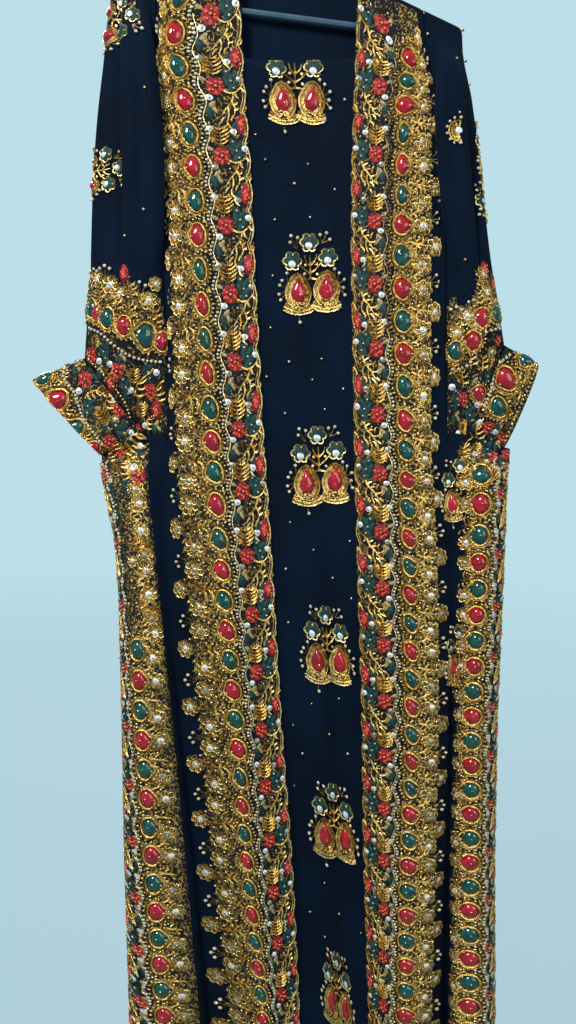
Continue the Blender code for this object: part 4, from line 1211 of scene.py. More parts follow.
def teardrop(wide: float, high: float, point: float) -> Outline:
    """A rounded drop whose point looks to negative across.

    Args:
        wide: Half width.
        high: Half height.
        point: How much further the point reaches, as a share of wide.

    Returns:
        The outline.
    """
    def outline(angle: float) -> Pair:
        """Across and up at one angle."""
        toward = max(-math.cos(angle), 0.0)
        return (wide * math.cos(angle) * (1 + point * toward ** 3),
                high * math.sin(angle) * (1 - 0.42 * toward ** 1.5))
    return outline


def lobed(wide: float, high: float, lobes: int, depth: float) -> Outline:
    """A flower's outline.

    Args:
        wide: Half width.
        high: Half height.
        lobes: Number of petals.
        depth: How deep the notches are, as a share.

    Returns:
        The outline.
    """
    def outline(angle: float) -> Pair:
        """Across and up at one angle."""
        reach = 1 - depth * (1 - abs(math.cos(lobes / 2 * angle)))
        return wide * reach * math.cos(angle), high * reach * math.sin(angle)
    return outline


def leaf(wide: float, high: float, bend: float = 0.0) -> Outline:
    """A leaf pointed at both ends, standing upright, perhaps bent to one side."""
    def outline(angle: float) -> Pair:
        """Across and up at one angle."""
        up = math.sin(angle)
        across = math.copysign(abs(math.cos(angle)) ** 1.5, math.cos(angle))
        return wide * across + bend * high * (1 - up * up), high * up
    return outline


def loop_of(outline: Outline, count: int, grow: float = 0.0) -> np.ndarray:
    """A closed line along an outline.

    Args:
        outline: Gives (across, up) at an angle.
        count: Number of points.
        grow: How far outside the outline.

    Returns:
        Points (across, down).
    """
    angles = np.arange(count) / count * 2 * math.pi
    flat = np.array([outline(a) for a in angles])
    if grow:
        along = np.roll(flat, -1, axis=0) - np.roll(flat, 1, axis=0)
        flat = flat + unit(np.stack([along[:, 1], -along[:, 0]], axis=1)) * grow
    return flat * np.array([1.0, -1.0])


def curve_through(points: Sequence[Pair], count: int) -> np.ndarray:
    """A smooth line through a few places.

    Args:
        points: Places (across, down).
        count: Number of points to return.

    Returns:
        The finer line.
    """
    control = np.array(points, dtype=float)
    step = np.linalg.norm(np.diff(control, axis=0), axis=1)
    at = np.concatenate([[0], np.cumsum(step)])
    slope = np.gradient(control, at, axis=0)
    t = np.linspace(0, at[-1], count)
    k = np.clip(np.searchsorted(at, t, side="right") - 1, 0, len(at) - 2)
    span = (at[k + 1] - at[k])[:, None]
    s = ((t - at[k])[:, None]) / span
    return ((2 * s ** 3 - 3 * s ** 2 + 1) * control[k] + (s ** 3 - 2 * s ** 2 + s) * span
            * slope[k] + (3 * s ** 2 - 2 * s ** 3) * control[k + 1]
            + (s ** 3 - s ** 2) * span * slope[k + 1])


def lay_ground(sheet: Sheet, name: str, rows: Pair, columns: Pair,
               material: bpy.types.Material, lift: float = GROUND_LIFT,
               hidden: Callable[[float, float], bool] | None = None) -> None:
    """Lays one stretch of stitched ground on a sheet.

    Args:
        sheet: The sheet.
        name: The piece's name.
        rows: First and last control row.
        columns: First and last control column.
        material: Its material.
        lift: Distance out from the cloth.
        hidden: Says which (row, column) cells to leave out.
    """
    skin = sheet.mesh(name, rows, columns, lift, hidden)
    skin.data.materials.append(material)
    thicken(skin, GROUND)
    settle(skin, "embroidery")


class Plan:
    """A flat plan laid on a sheet: across and height in metres, out from the cloth."""

    def __init__(self, sheet: Sheet, across: Sequence[Pair], heights: Sequence[Pair]) -> None:
        """Keeps how the plan runs on the sheet.

        Args:
            sheet: The sheet.
            across: Pairs (distance across, control column), rising distance.
            heights: Pairs (height, control row), falling height.
        """
        self.sheet = sheet
        self.across = np.array(across).T
        self.heights = np.array(heights).T
        with_columns = self.across[1][-1] > self.across[1][0]
        self.mirrored = sheet.outward * (1 if with_columns else -1) < 0

    def lay(self, flat: np.ndarray, out: np.ndarray | float = 0.0) -> np.ndarray:
        """Points on the sheet.

        Args:
            flat: Places (across, height).
            out: Distance out from the cloth.

        Returns:
            The points.
        """
        v = np.interp(flat[..., 0], self.across[0], self.across[1])
        u = np.interp(-flat[..., 1], -self.heights[0], self.heights[1])
        return self.sheet.place(u, v, np.broadcast_to(out, u.shape))


class Patch(Plan):
    """A small upright plan laid on a sheet round one place of it, true to length."""

    # Furthest that the place may lie beside the nearest fine point to be moved there
    REACH = 0.010

    def __init__(self, sheet: Sheet, x: float, z: float, front: bool = True,
                 columns: Pair = EVERYWHERE, narrow: float = 1.0, lean: float = 0.0) -> None:
        """Finds the place on the sheet.

        Args:
            sheet: The sheet.
            x: Where the middle is seen from the front.
            z: Its height.
            front: Whether it lies on the cloth that faces forward.
            columns: First and last control column that it may lie on.
            narrow: Share of the full width.
            lean: How far the patch falls towards the right, as a share of the way.
        """
        self.sheet, self.mirrored = sheet, False
        gap = np.hypot(sheet.points[..., 0] - x, sheet.points[..., 2] - z)
        away = sheet.normals[..., 1] > 0 if front else sheet.normals[..., 1] < 0
        gap = gap + np.where(away, 0.5, 0.0)
        first, last = (float(sheet.fine_column(c)) for c in columns)
        column = np.arange(gap.shape[1])
        gap[:, (column < first) | (column > last)] += 1.0
        i, j = np.unravel_index(np.argmin(gap), gap.shape)
        self.spot = sheet.points[i, j]
        out = sheet.normals[i, j]
        up = np.array([0.0, 0.0, 1.0]) - out * out[2]
        up /= np.linalg.norm(up)
        right = np.cross(up, out)
        down, across = (way[i, j] / np.linalg.norm(way[i, j])
                        for way in (sheet.down, sheet.across))
        self.turned = np.linalg.inv(np.array([[down @ right, across @ right],
                                              [down @ up, across @ up]]))
        self.slant = np.array([[narrow, 0.0], [-lean, 1.0]])
        missed = np.array([x - self.spot[0], 0.0, z - self.spot[2]])
        self.shift = np.array([missed @ right, missed @ up])
        if np.linalg.norm(self.shift) > self.REACH:
            self.shift *= 0.0
        self.along = self.lengths(sheet.points[:, j], i, False)
        self.around = self.lengths(sheet.points[i], j, sheet.closed)

    @staticmethod
    def lengths(line: np.ndarray, middle: int, closed: bool) -> tuple[np.ndarray, np.ndarray]:
        """Lengths along a line of fine points from one of them, and their numbers.

        Args:
            line: The points.
            middle: Number of the point to reckon from.
            closed: Whether the line runs round and round.

        Returns:
            Rising lengths and the number at each.
        """
        number = np.arange(len(line), dtype=float)
        length = np.concatenate([[0], np.cumsum(np.linalg.norm(np.diff(line, axis=0), axis=1))])
        length -= length[middle]
        if closed:
            whole, count = length[-1] - length[0], len(line) - 1
            length = np.concatenate([length[:-1] - whole, length[:-1], length + whole])
            number = np.concatenate([number[:-1] - count, number[:-1], number + count])
        return length, number

    def lay(self, flat: np.ndarray, out: np.ndarray | float = 0.0) -> np.ndarray:
        """Points on the sheet, for places (across, height) from the patch's middle."""
        ways = (flat @ self.slant.T + self.shift) @ self.turned.T
        i = np.interp(ways[..., 0], *self.along)
        j = np.interp(ways[..., 1], *self.around)
        return self.sheet.place_fine(i, j, out, True)


@dataclass
class Handwork:
    """Beads, cords and stitched shapes that become one piece of embroidery."""

    name: str
    palette: Palette
    points: list[np.ndarray] = field(default_factory=list)
    faces: list[tuple[int, ...]] = field(default_factory=list)
    finishes: list[int] = field(default_factory=list)
    slots: list[str] = field(default_factory=list)
    count: int = 0

    def add(self, points: np.ndarray, faces: Iterable[tuple[int, ...]], finish: str) -> None:
        """Adds faces.

        Args:
            points: Their points.
            faces: Their corners.
            finish: Name of the finish.
        """
        if finish not in self.slots:
            self.slots.append(finish)
        new = [tuple(k + self.count for k in face) for face in faces]
        self.faces += new
        self.finishes += [self.slots.index(finish)] * len(new)
        self.points.append(points)
        self.count += len(points)

    def cord(self, points: np.ndarray, radius: float, finish: str, closed: bool = False,
             sides: int = 4, thick: np.ndarray | float = 1.0) -> None:
        """Adds a cord along points in space.

        Args:
            points: The line.
            radius: Its radius.
            finish: Name of the finish.
            closed: Whether its end meets its start.
            sides: Sides round it.
            thick: Share of the radius at each point.
        """
        count = len(points)
        along = unit(np.roll(points, -1, axis=0) - np.roll(points, 1, axis=0) if closed
                     else np.gradient(points, axis=0))
        first = unit(np.cross(along, ASKEW))
        second = np.cross(along, first)
        angle = np.arange(sides) / sides * 2 * math.pi
        reach = radius * np.broadcast_to(thick, (count,))
        rings = (points[:, None] + reach[:, None, None]
                 * (first[:, None] * np.cos(angle)[None, :, None]
                    + second[:, None] * np.sin(angle)[None, :, None]))
        faces = []
        for k in range(count if closed else count - 1):
            n = (k + 1) % count
            for s in range(sides):
                t = (s + 1) % sides
                faces.append((k * sides + s, k * sides + t, n * sides + t, n * sides + s))
        if not closed:
            faces.append(tuple(range(sides))[::-1])
            faces.append(tuple((count - 1) * sides + s for s in range(sides)))
        self.add(rings.reshape(-1, 3), faces, finish)

    def build(self, *replaced: str) -> bpy.types.Object:
        """Makes the piece.

        Args:
            replaced: CAD nodes that it stands for.

        Returns:
            The object.
        """
        data = bpy.data.meshes.new(self.name)
        data.from_pydata(np.concatenate(self.points).tolist(), [], self.faces)
        data.polygons.foreach_set("material_index", self.finishes)
        for slot in self.slots:
            data.materials.append(self.palette[slot])
        data.shade_smooth()
        data.set_sharp_from_angle(angle=math.radians(60))
        thing = bpy.data.objects.new(self.name, data)
        bpy.context.scene.collection.objects.link(thing)
        settle(thing, "embroidery", *replaced)
        return thing


def settle(thing: bpy.types.Object, slot: str, *replaced: str) -> None:
    """Makes a piece ride on the garment and hides the CAD parts that it stands for.

    Args:
        thing: The piece.
        slot: Not used.
        replaced: CAD nodes that it stands for.
    """
    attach(thing, BODY)
    if replaced:
        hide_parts(*replaced)
    thing.data.calc_loop_triangles()
    LOG.info("%s: %d triangles", thing.name, len(thing.data.loop_triangles))


def thicken(thing: bpy.types.Object, thickness: float) -> None:
    """Gives a sheet its thickness, inwards.

    Args:
        thing: The sheet.
        thickness: In metres.
    """
    wall = thing.modifiers.new("thickness", "SOLIDIFY")
    wall.thickness = thickness
    wall.offset = -1.0
    wall.use_even_offset = False


class Stamps:
    """Every small shape of the embroidery, made once."""

    def __init__(self) -> None:
        """Makes them."""
        self.pearl = Stamp.bead(0.0022, rings=3)
        self.bead = Stamp.bead(0.0018, segments=5, rings=3)
        self.tiny = Stamp.bead(0.0012, segments=4, rings=3)
        self.sequin = Stamp.sequin(0.0043)
        self.gem_lines = {wide: teardrop(0.0105 * wide, 0.0125, 0.22)
                          for wide in (0.56, 0.74, 0.86, 1.0)}
        self.gems = {wide: Stamp.dome(line, 0.0046, segments=16, rings=6)
                     for wide, line in self.gem_lines.items()}
        self.drop_line = teardrop(0.0130, 0.0092, 0.30)
        self.drop = Stamp.dome(self.drop_line, 0.0046, segments=16, rings=6)
        self.bloom = Stamp.dome(lobed(0.0092, 0.0122, 6, 0.20), 0.0016, segments=18, rings=4)
        self.petal = Stamp.dome(leaf(0.0028, 0.0046), 0.0016, segments=8, rings=4)
        self.bud = Stamp.dome(leaf(0.0072, 0.0130), 0.0022, segments=10, rings=4)
        self.core = Stamp.dome(leaf(0.0034, 0.0085), 0.0032, segments=8, rings=4)
        self.leaf = Stamp.dome(leaf(0.0040, 0.0080, 0.10), 0.0015, segments=8, rings=4)
        self.eye = Stamp.bead(0.0026, flat=0.6, segments=5, rings=3)
        self.disc = Stamp.dome(oval(0.0100, 0.0100), 0.0009, segments=12, rings=2)
        self.star_line = lobed(0.0117, 0.0117, 6, 0.26)
        self.star = Stamp.dome(lobed(0.0110, 0.0110, 6, 0.25), 0.0018, segments=18, rings=4)
        self.bowl = Stamp.dome(oval(0.0170, 0.0110), 0.0022, segments=16, rings=4)


GOLD = "gold cord"
ANTIQUE = "antique gold thread"
PALE = "pale gold piping"
ORANGE = "orange satin stitch"
CRIMSON = "crimson satin stitch"
TEAL = "teal satin stitch"
CREAM = "cream satin stitch"
PEARL = "pearl"
SEQUIN = "silver sequin"
BEADWORK = "gold beadwork"


@dataclass(frozen=True)
class Needle:
    """Works designs on a plan round one spot, in millimetres across and down from it.

    across and height are the spot's place on the plan, in metres. turn is a clockwise turn,
    in radians, and size a scale of everything worked here. span is the lowest and highest
    height that may be worked.
    """

    work: Handwork
    plan: Plan
    stamps: Stamps
    across: float = 0.0
    height: float = 0.0
    turn: float = 0.0
    size: float = 1.0
    span: Pair = (-9.0, 9.0)

    def at(self, x: float, down: float, turn: float = 0.0, size: float = 1.0) -> "Needle":
        """A needle at another spot, reckoned from this one."""
        across, height = self.flat(np.array([[x, down]]))[0]
        return Needle(self.work, self.plan, self.stamps, across, height, self.turn + turn,
                      self.size * size, self.span)

    def flat(self, places: np.ndarray) -> np.ndarray:
        """Places on the plan of millimetres (across, down) from the spot."""
        c, s = math.cos(self.turn), math.sin(self.turn)
        x, down = places[..., 0] * self.size * MM, places[..., 1] * self.size * MM
        return np.stack([self.across + c * x - s * down, self.height - s * x - c * down],
                        axis=-1)

    def fits(self, flat: np.ndarray) -> bool:
        """Whether all of some places lie on the part of the plan that is worked."""
        return bool(flat[..., 1].min() > self.span[0] and flat[..., 1].max() < self.span[1])

    def put(self, stamp: Stamp, x: float, down: float, finish: str, turn: float = 0.0,
            size: float = 1.0, lift: float = 0.4) -> None:
        """Lays one small shape.

        Args:
            stamp: The shape.
            x: Its place across.
            down: Its place down.
            finish: Name of its finish.
            turn: Clockwise turn.
            size: Scale.
            lift: Distance of its foot from the cloth, in millimetres.
        """
        c, s = math.cos(turn), math.sin(turn)
        sx, sd = (stamp.points[:, k] * size / MM for k in (0, 1))
        flat = self.flat(np.stack([x + c * sx - s * sd, down + s * sx + c * sd], axis=1))
        if not self.fits(flat):
            return
        out = stamp.points[:, 2] * size * self.size + lift * MM
        faces = [face[::-1] for face in stamp.faces] if self.plan.mirrored else stamp.faces
        self.work.add(self.plan.lay(flat, out), faces, finish)

    def line(self, places: Sequence[Pair] | np.ndarray, radius: float,
             finish: str, closed: bool = False, sides: int = 3,
             thick: np.ndarray | float = 1.0, lift: float = 0.3) -> None:
        """Lays a cord.

        Args:
            places: Its places (across, down).
            radius: Its radius, in millimetres.
            finish: Name of its finish.
            closed: Whether its end meets its start.
            sides: Sides round it.
            thick: Share of the radius at each place.
            lift: Distance of its foot from the cloth, in millimetres.
        """
        flat = self.flat(np.array(places, dtype=float))
        if self.fits(flat):
            reach = radius * self.size * MM
            self.work.cord(self.plan.lay(flat, reach * 0.85 + lift * MM), reach, finish, closed,
                           sides, thick)

    def stroke(self, start: Pair, end: Pair, finish: str,
               radius: float = 1.4, bend: float = 0.0) -> None:
        """One padded stitch, thin at both ends.

        Args:
            start: Where it starts.
            end: Where it ends.
            finish: Name of its finish.
            radius: Its greatest radius, in millimetres.
            bend: How far its middle stands aside, as a share of its length.
        """
        share = np.array([0.0, 0.35, 0.7, 1.0])[:, None]
        a, b = np.array(start), np.array(end)
        aside = np.array([-(b - a)[1], (b - a)[0]]) * bend
        places = a + (b - a) * share + aside * 4 * share * (1 - share)
        self.line(places, radius, finish, thick=np.array([0.45, 1.0, 0.95, 0.3]))

    def strokes(self, ends: Iterable[tuple[float, ...]], radius: float, bend: float) -> None:
        """Several gold stitches, each by its start and its end."""
        for x0, down0, x1, down1 in ends:
            self.stroke((x0, down0), (x1, down1), GOLD, radius, bend)

    def vine(self, places: Sequence[Pair], radius: float, finish: str, count: int = 9) -> None:
        """A smooth stem through a few places, thinner towards its end."""
        self.line(curve_through(places, count), radius, finish,
                  thick=np.linspace(1.0, 0.6, count))

    def beads(self, places: Iterable[Pair], finish: str, size: float = 1.0) -> None:
        """Single beads."""
        for x, down in places:
            self.put(self.stamps.bead, x, down, finish, size=size)

    def stone(self, stone: Stone, wide: float = 1.0, beads: int = 19) -> None:
        """A glass stone that points to negative across, in its rim and ring of beads.

        Args:
            stone: Its colour.
            wide: Which of the four widths.
            beads: Number of beads round the rim.
        """
        line = self.stamps.gem_lines[wide]
        self.put(self.stamps.gems[wide], 0, 0, f"{stone.value} glass", lift=0.9)
        self.line(loop_of(line, 20, 0.0019) / MM, 1.6, GOLD, True, 4,
                  np.where(np.arange(20) % 2, 0.86, 1.0))
        self.line(loop_of(line, 20, 0.0049) / MM, 1.15, ANTIQUE, True, 3,
                  np.where(np.arange(20) % 2, 0.7, 1.1))
        for n, (x, down) in enumerate(loop_of(line, beads, 0.0066) / MM):
            self.put(self.stamps.bead, x, down, PALE if n % 3 == 0 else GOLD, size=0.95)
        # The tiny pale bead on top of the glass dome is a painted highlight.
        self.put(self.stamps.tiny, 2.2, -1.2, PALE, lift=5.0)
        self.put(self.stamps.tiny, -10.5 * wide, 1.6, PEARL, size=1.3, lift=1.6)

    def red_stone(self) -> None:
        """A red stone of the sleeves' width."""
        self.stone(Stone.RED, 0.86)

    def green_stone(self) -> None:
        """A green stone of the sleeves' width."""
        self.stone(Stone.GREEN, 0.86)

    def pearl(self) -> None:
        """One pearl."""
        self.put(self.stamps.pearl, 0, 0, PEARL)

    def bead(self) -> None:
        """One gold bead."""
        self.put(self.stamps.bead, 0, 0, PALE)

    def sequin(self) -> None:
        """A sequin held by a tiny bead."""
        self.put(self.stamps.sequin, 0, 0, SEQUIN, lift=0.8)
        self.put(self.stamps.tiny, 0.4, 0, PALE, lift=1.8)

    def twig(self) -> None:
        """Three pearls on thin stalks."""
        self.pearl_twigs((0, 12), ((-7, -1), (0, -4), (7, 0)))

    def curl(self) -> None:
        """A curling stem with long leaves, growing up."""
        self.vine(((6, 16), (-2, 8), (-4, -4), (3, -15)), 1.4, GOLD, 8)
        self.vine(((-2, 8), (-9, 5), (-13, -3)), 1.1, GOLD, 5)
        self.strokes(((-3, 2, 8, -2), (-4, -4, 5, -11), (-4, -6, -10, -13), (0, 10, 9, 6),
                      (-8, 5, -14, 9), (3, -15, 8, -19)), 1.6, 0.14)

    def spray(self) -> None:
        """A gold spray of padded stitches, growing up."""
        self.vine(((0, 12), (0.5, 0), (-1, -10)), 1.4, GOLD, 5)
        self.strokes(((0, 8, -10, 4), (0, 6, 10, 1), (0, 1, -11, -6), (0, -2, 9, -9),
                      (-1, -7, -6, -14), (0, -8, 5, -15)), 1.5, 0.12)
        self.beads(((-8, -1), (8, 6), (6, -4), (-5, 9)), PALE)

    def daisy(self) -> None:
        """A daisy of seven ringed loops with a sequin in its middle."""
        self.put(self.stamps.disc, 0, 0, BEADWORK, lift=0.3)
        ring = loop_of(oval(0.0036, 0.0036), 7) / MM
        for n in range(7):
            angle = 2 * math.pi * n / 7 + 0.3
            x, down = 8.1 * math.cos(angle), 8.1 * math.sin(angle)
            self.line(ring + (x, down), 0.85, GOLD if n % 2 else PALE, True)
            self.put(self.stamps.eye, x, down, ANTIQUE, size=0.85)
        self.line(loop_of(oval(0.0048, 0.0048), 8) / MM, 0.9, GOLD, True)
        # Three in five are bright, told by their place
        bright = int(abs(self.height + self.across) * 1979) % 5 < 3
        self.put(self.stamps.sequin, 0, 0, SEQUIN if bright else "dull sequin", size=0.92, lift=1.2)
        self.put(self.stamps.tiny, 0.3, 0, PALE, lift=2.2)

    def fern(self) -> None:
        """A fern of paired padded stitches, growing up."""
        self.vine(((0, 14), (0.6, 4), (0, -6)), 1.1, GOLD, 5)
        for n in range(5):
            down = 11.0 - 4.6 * n
            reach = (8.5, 10.0, 10.5, 9.0, 6.5)[n]
            for way in (-1, 1):
                self.stroke((way * 0.8, down), (way * reach, down - reach * 0.72), GOLD, 1.7,
                            0.10 * way)
        self.stroke((0, -7), (0.3, -15), PALE, 1.6)

    def bloom(self) -> None:
        """A red flower with orange petals laid on it."""
        self.put(self.stamps.bloom, 0, 0, CRIMSON)
        for n in range(6):
            angle = math.pi * n / 3 + 0.5
            x, down = 5.8 * math.cos(angle), 7.9 * math.sin(angle)
            if n != 4:
                self.put(self.stamps.petal, x, down, ORANGE, angle - math.pi / 2, 0.74, 1.0)
        for x, down, size in ((1.0, -4.4, 1.0), (-2.4, 5.2, 1.0), (0.2, 0.6, 1.5), (4.2, 1.4, 0.9),
                              (-3.8, -1.6, 1.2)):
            self.put(self.stamps.tiny, x, down, "peach highlight stitch", size=size, lift=2.0)

    def bud(self) -> None:
        """A pointed bud, red in its heart."""
        self.put(self.stamps.bud, 0, 0, CRIMSON)
        self.put(self.stamps.core, -0.4, 0.6, ORANGE, lift=0.6)
        for x, down in ((2.4, -5.0), (1.6, 1.0), (-0.6, 6.4), (-2.8, -1.6), (3.0, 4.4)):
            self.put(self.stamps.tiny, x, down, "peach highlight stitch", lift=1.8)

    def green_leaves(self) -> None:
        """A cluster of dark green leaves with white beads at their tips."""
        for x, down, turn, size in ((-3.6, -9.0, -0.45, 1.0), (3.2, -6.0, 0.5, 1.05),
                                    (-4.0, 1.0, -0.3, 1.0), (3.4, 5.0, 0.35, 1.0),
                                    (-0.6, 11.0, 0.05, 0.95)):
            self.put(self.stamps.leaf, x, down, TEAL, turn, size)
        self.vine(((0, -13), (0.6, 0), (0, 14)), 0.6, TEAL, 4)
        self.beads(((-3.0, -10.5), (0.6, 0.5), (3.0, 9.0)), PEARL, 0.85)

    def leaf_pair(self) -> None:
        """Two pale leaves and a dark one beside the pearls."""
        self.put(self.stamps.leaf, 1.6, -5.0, CREAM, 0.7, 0.72)
        self.put(self.stamps.leaf, 4.2, 1.8, CREAM, -0.5, 0.62)
        self.put(self.stamps.leaf, -2.6, 3.6, TEAL, -0.12, 1.1)

    def pearl_twigs(self, foot: Pair, tips: Iterable[Pair]) -> None:
        """Pearls on thin stalks from one foot."""
        for tip in tips:
            self.line((foot, ((foot[0] + tip[0]) / 2, (foot[1] + tip[1]) / 2 + 0.4), tip),
                      0.5, ANTIQUE)
            self.put(self.stamps.pearl, *tip, PEARL, size=1.15)

    def motif(self, above: float = -99.0, aside: float = 99.0) -> None:
        """The single motif: two red drops in gold under three green flowers.

        Args:
            above: Designs higher than this, in millimetres down, are left out.
            aside: Designs further to the right than this are left out.
        """
        flowers = [spot for spot in ((-7.0, -43.0), (-28.0, -19.5), (17.0, -24.5))
                   if spot[1] > above and spot[0] < aside]
        stems = (((-5, 2), (-5, -10), (-6, -28)), ((-5, -4), (-13, -10), (-19, -15)),
                 ((-5, -5), (3, -11), (9, -19)), ((-5, -14), (-11, -20), (-13, -27)),
                 ((-5, -15), (1, -21), (3, -28)), ((-5, 1), (-14, 3), (-19, -3)),
                 ((-5, 1), (5, 2), (12, -4)))
        for places in stems:
            if min(down for _, down in places) > above and places[-1][0] < aside:
                self.vine(places, 1.5, GOLD, 6)
        for x, down in ((-13, -4), (4, -4), (-12, -15), (3, -16)):
            if down > above and x < aside:
                self.put(self.stamps.eye, x, down, PALE, size=0.9)
        for x, down in flowers:
            self.put(self.stamps.star, x, down, TEAL)
            self.line(loop_of(self.stamps.star_line, 24, 0.0004) / MM + (x, down), 1.2, PALE,
                      True)
            self.put(self.stamps.sequin, x - 0.4, down + 4.0, SEQUIN, size=1.06, lift=1.8)
            self.beads(((x + 0.5, down - 7.5), (x + 7.0, down + 6.5), (x - 7.5, down + 5.5)),
                       PALE, 1.0)
        line = self.stamps.drop_line
        for x, down, lean in ((-20.5, 19.0, -0.05), (15.5, 15.0, 0.04)):
            if x > aside:
                continue
            self.put(self.stamps.bowl, x, down + 17.0, BEADWORK, lift=0.2)
            drop = self.at(x, down, math.pi / 2 + lean)
            for grow, radius, finish in ((0.0071, 1.25, GOLD), (0.0050, 1.15, ANTIQUE),
                                         (0.0031, 1.15, GOLD), (0.0012, 0.95, PALE)):
                drop.line(loop_of(line, 24, grow) / MM, radius, finish, True, 3,
                          np.where(np.arange(24) % 2, 0.76, 1.12))
            drop.put(self.stamps.drop, 0, 0, "red glass", lift=0.9)
            # The tiny pale bead on top of the drop is a painted highlight.
            drop.put(self.stamps.tiny, 3.0, -1.0, PALE, size=1.2, lift=4.6)
            for fall, radius, finish, half in ((20.0, 1.1, ANTIQUE, 17.0),
                                               (23.5, 1.3, GOLD, 18.5),
                                               (27.5, 1.2, PALE, 19.0)):
                arc = np.linspace(-1.0, 1.0, 9)
                places = np.stack([x + arc * half, down + fall - 5.5 * arc ** 2], axis=1)
                self.line(places, radius, finish, thick=np.where(np.arange(9) % 2, 0.8, 1.1))
            for n in range(6):
                self.stroke((x - 14 + 5.6 * n, down + 18.5), (x - 13 + 5.6 * n, down + 25.5),
                            GOLD, 1.2, 0.2)
        self.put(self.stamps.eye, -2.8, 36.0, PALE)
        twigs = [((-33, 14), ((-35, -4), (-41, 5), (-44, 11), (-45, 22), (-43, 29))),
                 ((28, 8), ((25, -10), (31, -5), (38, 3), (37, 13), (39, 22))),
                 ((24, 28), ((32, 36),)), ((-20, 50), ((-19, 56),)),
                 ((-22, -34), ((-30, -50), (-31, -42), (-22, -48))),
                 ((9, -42), ((7, -52), (15, -54), (19, -46)))]
        for foot, tips in twigs:
            shown = [tip for tip in tips if tip[1] > above and tip[0] < aside]
            if shown:
                self.pearl_twigs(foot, shown)

    def half_flower(self) -> None:
        """Half of a gold flower ringed with pearls, cut off at the pleat."""
        for n in range(8):
            angle = math.radians(78 + 29 * n)
            across, down = math.cos(angle), -math.sin(angle)
            self.put(self.stamps.pearl, 16 * across, 16 * down, PEARL)
            self.stroke((4.5 * across, 4.5 * down), (12 * across, 12 * down), GOLD, 1.7, 0.15)
        turn = np.linspace(math.radians(70), math.radians(290), 15)
        for reach, radius, finish in ((12.6, 1.1, GOLD), (8.4, 0.9, PALE), (5.0, 1.0, GOLD)):
            self.line(np.stack([reach * np.cos(turn), -reach * np.sin(turn)], axis=1), radius,
                      finish)
        self.put(self.stamps.sequin, 0.6, 0, SEQUIN, lift=1.6)
        self.put(self.stamps.pearl, 2, -22, PEARL, size=0.8)


@dataclass(frozen=True)
class BorderSizes:
    """Where one long border lies and how its designs are spread.

    across pairs millimetres from the row of stones with columns of the sheet. reach is the
    share of the way out at which the outer designs lie, and strip where the flowered strip
    starts, in millimetres, with its width as a share of the full one. wide pairs heights with
    the width of the stones above them, lean turns the stones, and beads counts those round a
    stone. The line of pearls and its cord are drawn darker above the height dim, painted shade
    of a fold, and a border whose height dim is not zero gets darker piping, also painted shade.
    There are no stones above stones_top. Each row of rhythm has a height, the height there on a
    border whose repeats are all alike, and how far up the flowered strip is shifted, in
    millimetres.
    """

    label: str
    node: str
    across: tuple[Pair, ...]
    outer_ground: Pair
    inner_ground: Pair
    rows: Pair
    top: float
    reach: float = 1.0
    strip: Pair = (18.5, 1.0)
    wide: tuple[Pair, ...] = ((-9.0, 0.74),)
    lean: float = 0.0
    dim: float = 0.0
    rich: bool = True
    beads: int = 19
    stones_top: float = 0.0
    rhythm: tuple[tuple[float, float, float], ...] = ((0.0, 0.0, 0.0), (-2.0, -2.0, 0.0))


